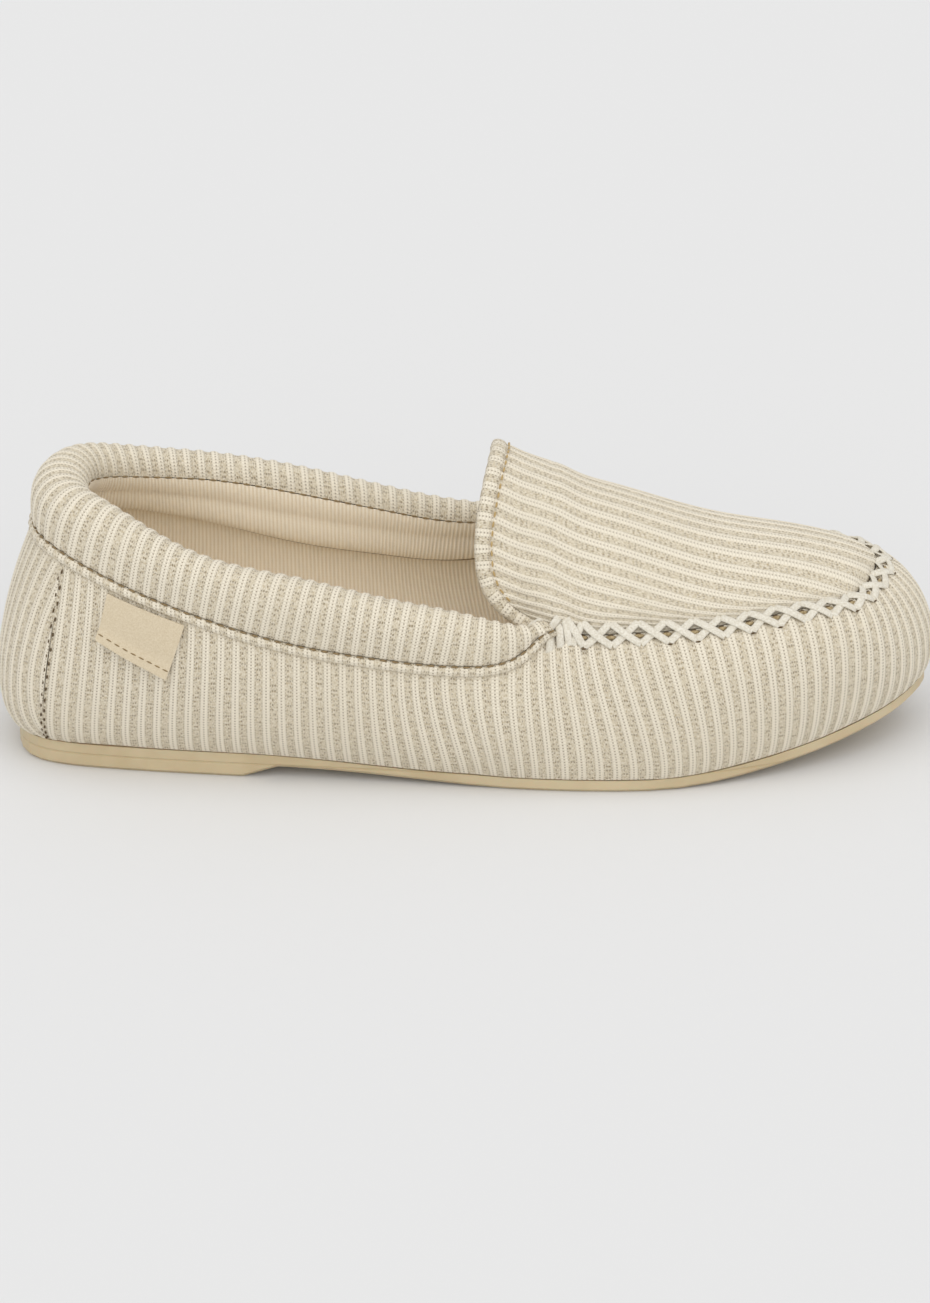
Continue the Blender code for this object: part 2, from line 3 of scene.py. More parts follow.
import bpy
import numpy as np
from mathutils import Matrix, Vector


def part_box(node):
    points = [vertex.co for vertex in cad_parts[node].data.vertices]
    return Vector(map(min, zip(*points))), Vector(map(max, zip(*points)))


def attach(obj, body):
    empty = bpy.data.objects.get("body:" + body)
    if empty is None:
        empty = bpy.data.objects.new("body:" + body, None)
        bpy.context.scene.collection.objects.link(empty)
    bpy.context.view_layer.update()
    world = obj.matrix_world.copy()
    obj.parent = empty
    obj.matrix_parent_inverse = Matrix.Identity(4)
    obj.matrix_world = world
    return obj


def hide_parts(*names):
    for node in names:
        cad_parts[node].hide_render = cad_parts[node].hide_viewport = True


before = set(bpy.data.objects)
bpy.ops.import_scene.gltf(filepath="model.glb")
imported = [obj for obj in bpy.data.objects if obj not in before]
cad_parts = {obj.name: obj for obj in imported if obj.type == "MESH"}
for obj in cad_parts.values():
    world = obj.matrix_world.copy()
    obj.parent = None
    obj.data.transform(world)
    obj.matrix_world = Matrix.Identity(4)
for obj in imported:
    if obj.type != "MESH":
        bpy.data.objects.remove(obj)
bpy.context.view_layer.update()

# Right moccasin slipper in ribbed knit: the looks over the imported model.
# Metres, +Z up, +X towards the toe, +Y towards the inner side of the foot.

# The last's own sizes, as in the part's source
shoe = {
    "soleLength": 0.2425,
    "ballWidth": 0.083,
    "seamHeight": 0.045,
    "instepHeight": 0.082,
    "backHeight": 0.079,
    "toeSpring": 0.0125,
    "heelThickness": 0.0070,
    "soleThickness": 0.0035,
    "waistRise": 0.0033,
    "heelLength": 0.0605,
    "breastLength": 0.0095,
    "wall": 0.0025,
    "swell": 0.010,
    "collarThickness": 0.0110,
    "pipingWidth": 0.0024,
    "bindingWidth": 0.0036,
    "insoleThickness": 0.0040,
    "gap": 0.0003,
    "cornerTuck": 0.0060,
    "throatCorner": 0.59,     # where the collar meets the seam, 0 at the heel and 1 at the toe
    "heelSeam": 0.092,        # side seams of the heel panel
}

# around, outer along, outer across, inner along, inner across
soleRows = (
    (0.000, 0.000, 0.000, 0.000, 0.000),
    (0.070, 0.019, -0.199, 0.019, 0.199),
    (0.140, 0.095, -0.281, 0.095, 0.285),
    (0.225, 0.198, -0.326, 0.198, 0.304),
    (0.320, 0.309, -0.363, 0.309, 0.298),
    (0.410, 0.412, -0.396, 0.412, 0.314),
    (0.500, 0.516, -0.434, 0.516, 0.369),
    (0.590, 0.614, -0.461, 0.614, 0.458),
    (0.670, 0.705, -0.457, 0.705, 0.524),
    (0.750, 0.790, -0.398, 0.796, 0.537),
    (0.825, 0.865, -0.316, 0.878, 0.477),
    (0.900, 0.930, -0.214, 0.951, 0.337),
    (0.955, 0.975, -0.100, 0.990, 0.169),
    (1.000, 1.000, 0.040, 1.000, 0.040),
)

# around, outer along and across, inner along and across, outer and inner share of
# backHeight, outer and inner share of seamHeight, lean in degrees
rimRows = (
    (0.000, 0.023, 0.000, 0.023, 0.000, 0.771, 0.771, 0.00, 0.00, 5),
    (0.070, 0.043, -0.211, 0.043, 0.211, 0.765, 0.775, 0.00, 0.00, 5),
    (0.140, 0.111, -0.343, 0.111, 0.335, 0.695, 0.730, 0.00, 0.00, 5),
    (0.225, 0.206, -0.410, 0.206, 0.385, 0.592, 0.640, 0.00, 0.00, 5),
    (0.320, 0.309, -0.439, 0.309, 0.412, 0.502, 0.540, 0.00, 0.00, 5),
    (0.410, 0.404, -0.460, 0.404, 0.443, 0.456, 0.480, 0.00, 0.00, 5),
    (0.490, 0.485, -0.470, 0.485, 0.465, 0.434, 0.452, 0.00, 0.00, 10),
    (0.545, 0.553, -0.455, 0.551, 0.460, 0.210, 0.220, 0.45, 0.48, 24),
    (0.590, 0.591, -0.398, 0.590, 0.415, 0.000, 0.000, 0.98, 1.01, 40),
    (0.625, 0.617, -0.393, 0.617, 0.415, 0.000, 0.000, 0.97, 1.00, 45),
    (0.670, 0.660, -0.392, 0.660, 0.416, 0.000, 0.000, 0.97, 1.00, 50),
    (0.750, 0.759, -0.355, 0.759, 0.398, 0.000, 0.000, 0.98, 1.00, 52),
    (0.825, 0.845, -0.298, 0.845, 0.350, 0.000, 0.000, 1.03, 1.02, 55),
    (0.900, 0.913, -0.193, 0.913, 0.259, 0.000, 0.000, 1.04, 1.04, 58),
    (0.955, 0.938, -0.060, 0.938, 0.165, 0.000, 0.000, 1.05, 1.05, 60),
    (1.000, 0.946, 0.060, 0.946, 0.060, 0.000, 0.000, 1.06, 1.06, 60),
)

# around, outer and inner low swell, its height, high swell, its depth
wallRows = (
    (0.000, 0.90, 0.90, 0.09, 0.97, 0.40),
    (0.070, 0.88, 0.88, 0.10, 0.85, 0.40),
    (0.140, 0.80, 0.80, 0.13, 0.60, 0.40),
    (0.225, 0.65, 0.75, 0.20, 0.40, 0.38),
    (0.320, 0.60, 0.85, 0.25, 0.30, 0.36),
    (0.410, 0.60, 0.90, 0.28, 0.30, 0.36),
    (0.490, 0.60, 0.85, 0.28, 0.35, 0.34),
    (0.590, 0.60, 0.65, 0.30, 0.75, 0.24),
    (0.670, 0.60, 0.60, 0.30, 1.00, 0.16),
    (0.750, 0.60, 0.55, 0.30, 1.10, 0.14),
    (0.825, 0.60, 0.50, 0.28, 1.20, 0.14),
    (0.900, 0.55, 0.50, 0.26, 1.30, 0.14),
    (1.000, 0.50, 0.50, 0.25, 1.36, 0.14),
)

# around, outer along and across, inner along and across, the four height shares as in
# rimRows, thickness
crestRows = (
    (0.000, 0.061, 0.000, 0.061, 0.000, 1.000, 1.000, 0.00, 0.00, 1.30),
    (0.070, 0.078, -0.136, 0.078, 0.125, 0.990, 1.004, 0.00, 0.00, 1.22),
    (0.140, 0.120, -0.247, 0.120, 0.223, 0.950, 0.960, 0.00, 0.00, 1.05),
    (0.225, 0.206, -0.346, 0.206, 0.329, 0.825, 0.882, 0.00, 0.00, 1.00),
    (0.320, 0.309, -0.386, 0.309, 0.380, 0.754, 0.801, 0.00, 0.00, 1.00),
    (0.410, 0.408, -0.407, 0.408, 0.410, 0.687, 0.711, 0.00, 0.00, 0.95),
    (0.490, 0.491, -0.419, 0.491, 0.428, 0.639, 0.651, 0.00, 0.00, 0.80),
    (0.545, 0.545, -0.425, 0.545, 0.434, 0.300, 0.310, 0.53, 0.56, 0.50),
    (0.590, 0.588, -0.410, 0.588, 0.422, 0.000, 0.000, 1.02, 1.05, 0.35),
)

# share, ahead, aside, rise, arch
ridgeRows = (
    (-0.200, 0.000, 0.010, 1.03, 2.3),
    (-0.120, 0.000, 0.010, 0.96, 2.3),
    (0.000, 0.000, 0.010, 0.82, 2.2),
    (0.090, 0.000, 0.010, 0.745, 2.1),
    (0.195, 0.000, 0.010, 0.645, 2.1),
    (0.390, 0.000, 0.010, 0.42, 2.0),
    (0.573, 0.000, 0.008, 0.27, 2.0),
    (0.756, 0.000, 0.005, 0.14, 2.0),
    (0.890, 0.000, 0.000, 0.05, 2.0),
    (1.000, 0.000, 0.000, 0.00, 2.0),
)

# across, outer share, inner share
throatRows = (
    (0.000, -0.145, -0.145), (0.250, -0.158, -0.145), (0.460, -0.178, -0.148),
    (0.660, -0.202, -0.152), (0.750, -0.208, -0.152), (0.830, -0.203, -0.148),
    (0.890, -0.182, -0.138), (0.930, -0.145, -0.115), (0.965, -0.090, -0.075),
    (1.000, 0.000, 0.000),
)

# Section of the collar: out as a share of its thickness, up of its height
collarSection = (
    (0.00, 0.00), (0.10, 0.20), (0.14, 0.46), (0.08, 0.72), (-0.10, 0.92), (-0.36, 1.00),
    (-0.62, 0.95), (-0.80, 0.80), (-0.86, 0.56), (-0.74, 0.28), (-0.50, 0.06), (-0.25, 0.00),
)
crestOut = -0.36

# Corners of the label, as around and share of the wall's height
labelCorners = ((0.134, 0.774), (0.200, 0.674), (0.214, 0.985), (0.141, 0.985))


# Curves and directions, for whole arrays at once

def smoothCurve(knots, values, period=None):
    t = np.array(knots, float)
    v = np.array(values, float)
    if period:
        t = np.append(t, t[0] + period)
        v = np.vstack([v, v[:1]])
    n = len(t)
    h = np.diff(t)
    a = np.zeros((n, n))
    b = np.zeros((n, v.shape[1]))
    for i in range(1, n - 1):
        a[i, i - 1], a[i, i], a[i, i + 1] = h[i - 1], 2 * (h[i - 1] + h[i]), h[i]
        b[i] = 6 * ((v[i + 1] - v[i]) / h[i] - (v[i] - v[i - 1]) / h[i - 1])
    if period:
        a[0, 0], a[0, n - 1] = 1, -1
        a[n - 1, 0], a[n - 1, 1] = 2 * h[0], h[0]
        a[n - 1, n - 2], a[n - 1, n - 1] = h[-1], 2 * h[-1]
        b[n - 1] = 6 * ((v[1] - v[0]) / h[0] - (v[-1] - v[-2]) / h[-1])
    else:
        a[0, 0] = a[n - 1, n - 1] = 1
    m = np.linalg.solve(a, b)

    def at(x):
        x = np.asarray(x, float)
        if period:
            x = t[0] + (x - t[0]) % period
        i = np.clip(np.searchsorted(t, x) - 1, 0, n - 2)
        u, w, s = (t[i + 1] - x)[..., None], (x - t[i])[..., None], h[i][..., None]
        return (
            (m[i] * u ** 3 + m[i + 1] * w ** 3) / (6 * s)
            + (v[i] / s - m[i] * s / 6) * u
            + (v[i + 1] / s - m[i + 1] * s / 6) * w
        )

    return at


def bothSides(rows, outer, inner, ring):
    if ring:
        knots = [row[0] for row in rows] + [2 - row[0] for row in reversed(rows[1:-1])]
        values = [[row[k] for k in outer] for row in rows]
        values += [[row[k] for k in inner] for row in reversed(rows[1:-1])]
        return smoothCurve(knots, values, period=2)
    knots = [-row[0] for row in reversed(rows[1:])] + [row[0] for row in rows]
    values = [[row[k] for k in inner] for row in reversed(rows[1:])]
    values += [[row[k] for k in outer] for row in rows]
    return smoothCurve(knots, values)


soleCurve = bothSides(soleRows, (1, 2), (3, 4), ring=True)
rimCurve = bothSides(rimRows, (1, 2, 5, 7, 9), (3, 4, 6, 8, 9), ring=True)
swellCurve = bothSides(wallRows, (1, 3, 4, 5), (2, 3, 4, 5), ring=True)
crestCurve = bothSides(crestRows, (1, 2, 5, 7, 9), (3, 4, 6, 8, 9), ring=False)
ridgeCurve = smoothCurve([row[0] for row in ridgeRows], [row[1:] for row in ridgeRows])


def unit(v):
    return v / np.maximum(np.linalg.norm(v, axis=-1, keepdims=True), 1e-12)


def smooth(x):
    x = np.clip(x, 0.0, 1.0)
    return x * x * (3 - 2 * x)


def stacked(x, y, z):
    return np.stack(np.broadcast_arrays(x, y, z), axis=-1).astype(float)


def blend(a, b, share):
    share = np.asarray(share)[..., None]
    return a * (1 - share) + b * share


def soleUnder(x):
    length, breast = shoe["soleLength"], shoe["heelLength"] + shoe["breastLength"]
    flatFrom, flatTo = 0.57 * length, 0.70 * length
    slope = shoe["waistRise"] * (x - shoe["heelLength"]) / shoe["breastLength"]
    waist = shoe["waistRise"] * (1 - smooth((x - breast) / (flatFrom - breast)))
    toe = shoe["toeSpring"] * (np.maximum(x - flatTo, 0) / (length - flatTo)) ** 1.7
    return np.where(x <= shoe["heelLength"], 0, np.where(x <= breast, slope, waist + toe))


def soleTop(x):
    middle = 0.5 * shoe["soleLength"]
    front = soleUnder(x) + shoe["soleThickness"]
    low = soleUnder(np.array(middle)) + shoe["soleThickness"]
    share = smooth((x - shoe["heelLength"]) / (middle - shoe["heelLength"]))
    return np.where(x >= middle, front, shoe["heelThickness"] * (1 - share) + low * share)


def soleEdge(around):
    at = soleCurve(around)
    return stacked(at[..., 0] * shoe["soleLength"], at[..., 1] * shoe["ballWidth"], 0.0)


def outOf(ahead):
    return unit(stacked(ahead[..., 1], -ahead[..., 0], 0.0))


def outward(around):
    return outOf(soleEdge(around + 0.004) - soleEdge(around - 0.004))


def placed(at):
    # at holds along, across, and shares of backHeight and of seamHeight
    return stacked(
        at[..., 0] * shoe["soleLength"], at[..., 1] * shoe["ballWidth"],
        at[..., 2] * shoe["backHeight"] + at[..., 3] * shoe["seamHeight"],
    )


def rimPoint(around):
    return placed(rimCurve(around))


def rimOutward(around):
    return outOf(rimPoint(around + 0.006) - rimPoint(around - 0.006))


def rimThrough(around):
    lean = np.radians(rimCurve(around)[..., 4:5])
    return unit(rimOutward(around) * np.cos(lean) + np.array([0, 0, 1]) * np.sin(lean))


def wallPoint(around, up):
    around, up = np.broadcast_arrays(around, up)
    at = swellCurve(around)
    lowOut, lowUp, highOut, highDown = (at[..., k:k + 1] for k in range(4))
    foot = soleEdge(around)
    foot[..., 2] = soleTop(foot[..., 0]) + shoe["gap"]
    top = rimPoint(around)
    rise = stacked(0, 0, top[..., 2] - foot[..., 2])
    low = foot + outward(around) * lowOut * shoe["swell"] + rise * lowUp
    high = top + outward(around) * highOut * shoe["swell"] - rise * highDown
    t = up[..., None]
    k = 1 - t
    return k ** 3 * foot + 3 * k ** 2 * t * low + 3 * k * t ** 2 * high + t ** 3 * top


def facing(normal, towards):
    return normal * np.where(np.sum(normal * towards, -1, keepdims=True) < 0, -1, 1)


def faceNormal(face, a, b, stepA, stepB, towards):
    ahead = face(a + stepA, b) - face(a - stepA, b)
    side = face(a, np.minimum(b + stepB, 1.0)) - face(a, np.maximum(b - stepB, -1.0))
    return facing(unit(np.cross(ahead, side)), towards)


def wallNormal(around, up):
    around, up = np.broadcast_arrays(around, up)
    lifted = np.clip(up, 0.02, 1.0)
    return faceNormal(wallPoint, around, lifted, 0.004, 0.02, outward(around))


def seamPoint(side, share):
    corner = shoe["throatCorner"]
    at = corner + (1 - corner) * np.maximum(share, 0.0)
    around = at if side < 0 else 2 - at
    point = rimPoint(around) - rimOutward(around) * shoe["gap"]
    step = 0.03
    ahead = rimPoint(around + step if side < 0 else around - step) - rimPoint(around)
    ahead[..., 2] = 0
    back = np.minimum(share, 0.0)[..., None]
    point = point + ahead * back * (1 - corner) / step
    return point - rimOutward(around) * shoe["cornerTuck"] * smooth(-back / 0.10)


def seamEdge(share, across):
    # the seam on the same side of the shoe
    return np.where((across < 0)[..., None], seamPoint(-1, share), seamPoint(1, share))


def besideSeam(share, across):
    at = shoe["throatCorner"] + (1 - shoe["throatCorner"]) * share
    return np.where(across < 0, at, 2 - at)


def apronPoint(share, across):
    share, across = np.broadcast_arrays(share, across)
    at = ridgeCurve(share)
    lift = stacked(
        at[..., 0] * shoe["soleLength"], at[..., 1] * shoe["ballWidth"],
        at[..., 2] * (shoe["instepHeight"] - shoe["seamHeight"]),
    )
    side = (across[..., None] + 1) / 2
    chord = seamPoint(-1, share) * (1 - side) + seamPoint(1, share) * side
    return chord + lift * (1 - np.abs(across) ** at[..., 3])[..., None]


def throatShare(across):
    places, outer, inner = zip(*throatRows)
    size = np.abs(across)
    return np.where(across < 0, np.interp(size, places, outer), np.interp(size, places, inner))


def apronNormal(share, across):
    share, across = np.broadcast_arrays(share, across)
    inside = np.clip(share, -1.0, 0.985)
    up = np.array([0, 0, 1.0])
    return faceNormal(apronPoint, inside, across, 0.01, 0.02, up)


def apronThrough(share, across):
    share, across = np.broadcast_arrays(share, across)
    through = rimThrough(besideSeam(np.maximum(share, 0.0), across))
    inward = np.linalg.norm(apronPoint(share, across) - seamEdge(share, across), axis=-1)
    inside = smooth(inward / 0.007)
    return unit(blend(through, apronNormal(share, across), inside))


def rimFrame(around):
    base = rimPoint(around)
    at = crestCurve(around)
    thickness = at[..., 4:5] * shoe["collarThickness"]
    out = rimOutward(around)
    rise = placed(at) - out * crestOut * thickness - base
    up = unit(rise)
    out = unit(out - up * np.sum(out * up, -1, keepdims=True))
    return base, up, out, np.linalg.norm(rise, axis=-1, keepdims=True), thickness


# Where the part's own origin lies from the back of the sole
edgeAll = soleEdge(np.linspace(0, 2, 4001))
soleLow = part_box("outsole")[0]
toFrame = np.array([soleLow[0] - edgeAll[:, 0].min(), soleLow[1] - edgeAll[:, 1].min(), 0.0])


def runLengths(points, axis):
    # lengths along the rows or columns of a grid, from 0
    steps = np.linalg.norm(np.diff(points, axis=axis), axis=-1)
    start = np.zeros_like(np.take(steps, [0], axis))
    return np.concatenate([start, np.cumsum(steps, axis)], axis)


def aheadOf(line):
    return unit(np.gradient(line, axis=0))


def pairs(across, along):
    return np.stack(np.broadcast_arrays(across, along), -1).reshape(-1, 2)


# One board holds the nodes of a material or a geometry tree, and a wire carries a value
class Wire:
    def __init__(self, board, socket):
        self.board = board
        self.socket = socket

    def output(self, name):
        return Wire(self.board, self.socket.node.outputs[name])

    def math(self, operation, *others):
        values = {k: value for k, value in enumerate((self, *others))}
        return self.board.add("ShaderNodeMath", {"operation": operation}, values)

    def __add__(self, other):
        return self.math("ADD", other)

    def __sub__(self, other):
        return self.math("SUBTRACT", other)

    def __mul__(self, other):
        return self.math("MULTIPLY", other)

    def __truediv__(self, other):
        return self.math("DIVIDE", other)

    def __rsub__(self, other):
        return self.board.number(other).math("SUBTRACT", self)

    __radd__ = __add__
    __rmul__ = __mul__

    def part(self):
        return self.math("FRACT")

    def size(self):
        return self.math("ABSOLUTE")

    def between(self, low, high):
        # 0 at low and 1 at high, eased, and held beyond them
        return self.board.add(
            "ShaderNodeMapRange", {"interpolation_type": "SMOOTHSTEP"},
            {"Value": self, "From Min": low, "From Max": high, "To Min": 0.0, "To Max": 1.0},
        )


class Board:
    def __init__(self, tree):
        self.tree = tree

    def add(self, kind, settings=None, values=None, out=0):
        node = self.tree.nodes.new(kind)
        for name, value in (settings or {}).items():
            if name == "stops":
                while len(node.color_ramp.elements) < len(value):
                    node.color_ramp.elements.new(0.5)
                for element, (place, paint) in zip(node.color_ramp.elements, value):
                    element.position = place
                    element.color = paint
            else:
                setattr(node, name, value)
        for name, value in (values or {}).items():
            if isinstance(value, Wire):
                self.tree.links.new(value.socket, node.inputs[name])
            else:
                node.inputs[name].default_value = value
        return Wire(self, node.outputs[out] if len(node.outputs) else None)

    def number(self, value):
        return self.add("ShaderNodeMath", {"operation": "ADD"}, {0: value, 1: 0.0})

    def mix(self, share, first, second):
        values = {0: share, 6: first, 7: second}
        return self.add("ShaderNodeMix", {"data_type": "RGBA"}, values, out=2)

    def place(self, x, y, z=0.0):
        return self.add("ShaderNodeCombineXYZ", None, {0: x, 1: y, 2: z})

    def parts(self, vector):
        split = self.add("ShaderNodeSeparateXYZ", None, {0: vector})
        return split.output("X"), split.output("Y"), split.output("Z")

    def field(self, name, kind="FLOAT"):
        return self.add("GeometryNodeInputNamedAttribute", {"data_type": kind}, {"Name": name})

    def noise(self, where, scale, detail=2.0, roughness=0.5):
        values = {"Vector": where, "Scale": scale, "Detail": detail, "Roughness": roughness}
        return self.add("ShaderNodeTexNoise", None, values)


def colour(red, green, blue):
    # screen values from 0 to 255, made linear
    parts = []
    for value in (red, green, blue):
        share = value / 255
        parts.append(share / 12.92 if share <= 0.04045 else ((share + 0.055) / 1.055) ** 2.4)
    return (*parts, 1.0)


def newFinish(name):
    made = bpy.data.materials.new(name)
    made.use_nodes = True
    made.node_tree.nodes.clear()
    return made, Board(made.node_tree)


def closeFinish(board, surface, constants, bump=None):
    # surface holds what changes over the piece, constants what doesn't
    values = dict(surface)
    if bump:
        height, distance, strength = bump
        values["Normal"] = board.add(
            "ShaderNodeBump", None, {"Height": height, "Distance": distance, "Strength": strength}
        )
    shader = board.add("ShaderNodeBsdfPrincipled", None, {**constants, **values})
    board.add("ShaderNodeOutputMaterial", None, {"Surface": shader})


# Finishes

knit = {
    "pitch": 0.0041,          # from rib to rib
    "course": 0.00090,        # one loop along a rib
    "ribHeight": 0.00040,
    "chain": colour(237, 228, 209),
    "chainShade": colour(228, 218, 197),
    "marlLight": colour(228, 219, 201),
    "marlMid": colour(209, 198, 175),
    "marlDark": colour(183, 165, 133),
    # the pinholes' colour is painted shade, where one sees into the openings of the knit
    "pinholeShade": colour(124, 104, 74),
    "ribEdge": (0.28, 0.70),  # where a rib's side falls, from its middle at 0 to the next at 1
    "ribSunk": 0.4,           # share of its height that lies below the cloth
    "chainEdge": (0.46, 0.58),
    "strandEdge": (0.34, 0.56),
    "slant": 0.8,
    "centreDark": 0.72,
    "sideDark": 0.62,
    # place across the rib, half width, softness, loops to a course, shift, half length,
    # where the scatter lets it show
    "edgeHole": (0.55, 0.08, 0.4, 1.0, 0.3, 0.28, (0.40, 0.50)),
    "sideHole": (0.84, 0.12, 0.5, 0.62, 0.0, 0.26, (0.46, 0.54)),
}


def knitFinish(name, fade=1.0):
    # fade weakens the painted shade in the pinholes, as on a part that is stretched
    made, board = newFinish(name)
    rib, course, _ = board.parts(board.add("ShaderNodeUVMap", {"uv_map": "knit"}))
    side = (rib.part() - 0.5).size() * 2
    scatter = board.noise(board.place(rib * 4.0, course * 0.45), 1.0, 1.0)

    def hole(place, wide, soft, rate, shift, tall, shown):
        opening = 1 - ((side - place) / wide).size().between(soft, 1.0)
        along = (course * rate + shift).part() - 0.5
        return opening * (1 - (along / tall).size().between(0.5, 1.0)) * scatter.between(*shown)

    chain = 1 - side.between(*knit["chainEdge"])
    loop = ((course + side * knit["slant"]).part() - 0.5).size() * 2
    strand = 1 - side.between(*knit["strandEdge"])
    beads = strand * (1 - loop.between(0.60, 1.0) * 0.6)
    centreHole = 1 - ((course.part() - 0.5) / 0.24).size().between(0.5, 1.0)
    centreHole = centreHole * (1 - side.between(0.06, 0.14))
    sideHole = hole(*knit["sideHole"]).math("MAXIMUM", hole(*knit["edgeHole"]))
    marl = board.noise(board.place(rib * 11.0, course * 1.35), 1.0, 2.0, 0.6)
    marlColour = board.add(
        "ShaderNodeValToRGB",
        {"stops": ((0.30, knit["marlDark"]), (0.47, knit["marlMid"]), (0.66, knit["marlLight"]))},
        {0: marl},
    )
    chainColour = board.mix(beads, knit["chainShade"], knit["chain"])
    base = board.mix(chain, marlColour, chainColour)
    # painted shade: the knit is darkened to the pinhole colour in its openings
    base = board.mix(centreHole * (knit["centreDark"] * fade), base, knit["pinholeShade"])
    base = board.mix(sideHole * (knit["sideDark"] * fade), base, knit["pinholeShade"])
    patches = board.noise(board.add("ShaderNodeTexCoord", out="Object"), 38.0, 2.0)
    base = board.mix(patches.between(0.35, 0.75) * 0.16, base, knit["marlMid"])
    knots = board.noise(board.place(rib * 14.0, course * 2.0), 1.0, 1.0)
    height = beads * 0.8 + (1 - chain) * knots * 0.8 - centreHole * 0.5 - sideHole * 0.8
    closeFinish(
        board, {"Base Color": base},
        {"Roughness": 0.92, "Specular IOR Level": 0.25,
         "Sheen Weight": 0.18, "Sheen Roughness": 0.5},
        bump=(height, 0.00035, 0.75),
    )
    return made


lining = {
    "line": 0.00107,          # from one fine line to the next
    "row": 0.0008,
    "light": colour(252, 241, 221),
    "shade": colour(236, 220, 193),
}


def liningFinish(name, relief=1.0):
    made, board = newFinish(name)
    line, row, _ = board.parts(board.add("ShaderNodeUVMap", {"uv_map": "knit"}))
    wave = (line.part() - 0.5).size() * 2
    rows = (row.part() - 0.5).size() * 2
    fuzz = board.noise(board.place(line * 1.7, row * 1.3), 1.0, 3.0, 0.65)
    pile = wave.between(0.9, 0.1) * 0.85 + rows.between(1.0, 0.3) * 0.12 + fuzz * 0.3
    base = board.mix(pile.between(0.10, 1.05), lining["shade"], lining["light"])
    closeFinish(
        board, {"Base Color": base},
        {"Roughness": 0.95, "Specular IOR Level": 0.2,
         "Sheen Weight": 0.35, "Sheen Roughness": 0.45},
        bump=(pile, 0.00022 * relief, 0.6),
    )
    return made


def clothFinish(name, light, shade, threadSize):
    # plain woven or thread surface on object coordinates
    made, board = newFinish(name)
    at = board.add("ShaderNodeTexCoord", out="Object")
    fuzz = board.noise(at, 1.0 / threadSize, 3.0, 0.6)
    base = board.mix(fuzz.between(0.3, 0.7), shade, light)
    closeFinish(
        board, {"Base Color": base},
        {"Roughness": 0.88, "Specular IOR Level": 0.3, "Sheen Weight": 0.15},
        bump=(fuzz, threadSize * 0.4, 0.5),
    )
    return made


def rubberFinish(name):
    made, board = newFinish(name)
    at = board.add("ShaderNodeTexCoord", out="Object")
    along, aside, up = board.parts(at)
    cloud = board.noise(at, 60.0, 3.0)
    speck = board.noise(at, 900.0, 2.0)
    facingUp = board.parts(board.add("ShaderNodeNewGeometry", out="Normal"))[2]
    under = (facingUp * -1).between(0.6, 0.9)
    # the tread is a fine wave across the underside, and the heel's side has one moulded line; both
    # are sunk, and also darkened in colour, which is painted shade in their grooves
    ripple = (along * 380.0 + (aside * 520.0).math("SINE") * 0.35).part()
    tread = (ripple - 0.5).size().between(0.1, 0.3) * under
    line = 1 - ((up - 0.0041) / 0.0004).size().between(0.3, 1.0)
    line = line * (1 - under)
    base = board.mix(cloud.between(0.3, 0.7), colour(194, 175, 139), colour(206, 189, 155))
    base = board.mix(line * 0.35 + tread * 0.25, base, colour(178, 156, 112))
    rough = cloud * 0.15 + 0.38
    closeFinish(
        board, {"Base Color": base, "Roughness": rough},
        {"Specular IOR Level": 0.45, "Subsurface Weight": 0.15, "Subsurface Scale": 0.004,
         "Coat Weight": 0.08, "Coat Roughness": 0.4},
        bump=(speck * 0.2 - line * 0.8 - tread, 0.0003, 0.5),
    )
    return made


# Meshes

def solidBetween(outer, inner, ring):
    # closed shell from two grids with the same columns, rows going up
    rows, columns = outer.shape[:2]
    innerRows = inner.shape[0]
    points = np.vstack([outer.reshape(-1, 3), inner.reshape(-1, 3)])
    start = rows * columns
    j = np.arange(columns if ring else columns - 1)
    nextJ = (j + 1) % columns
    faces = []
    for base, count, turned in ((0, rows, False), (start, innerRows, True)):
        i = np.arange(count - 1)[:, None] * columns + base
        above = i + columns
        quads = np.stack([i + j, i + nextJ, above + nextJ, above + j], -1).reshape(-1, 4)
        faces.append(quads[:, ::-1] if turned else quads)
    top, innerTop = (rows - 1) * columns, start + (innerRows - 1) * columns
    faces.append(np.stack([top + j, top + nextJ, innerTop + nextJ, innerTop + j], -1))
    faces.append(np.stack([start + j, start + nextJ, nextJ, j], -1))
    faces = np.vstack(faces).tolist()
    if not ring:
        for end, turned in ((0, True), (columns - 1, False)):
            loop = [k * columns + end for k in range(rows)]
            loop += [start + k * columns + end for k in reversed(range(innerRows))]
            faces.append(loop[::-1] if turned else loop)
    return points, faces


def tubeThrough(sections):
    # sections has a row for each place along the tube and a column for each point round it
    rows, columns = sections.shape[:2]
    j = np.arange(columns)
    a = np.arange(rows - 1)[:, None] * columns
    b, k = a + columns, (j + 1) % columns
    faces = np.stack([a + j, a + k, b + k, b + j], -1).reshape(-1, 4).tolist()
    faces.append(list(range(columns))[::-1])
    faces.append([(rows - 1) * columns + n for n in range(columns)])
    return sections.reshape(-1, 3), faces


def volumeOf(points, faces):
    total = 0.0
    quads = np.array([face for face in faces if len(face) == 4])
    for a, b, c in ((0, 1, 2), (0, 2, 3)):
        p, q, r = points[quads[:, a]], points[quads[:, b]], points[quads[:, c]]
        total += np.sum(p * np.cross(q, r))
    return total


def linked(name, data):
    made = bpy.data.objects.new(name, data)
    bpy.context.scene.collection.objects.link(made)
    return made


def addField(mesh, key, values):
    # numbers or directions at the points, for a geometry tree to read
    values = np.asarray(values, np.float32)
    kind, slot = ("FLOAT", "value") if values.ndim == 1 else ("FLOAT_VECTOR", "vector")
    mesh.attributes.new(key, kind, "POINT").data.foreach_set(slot, values.ravel())


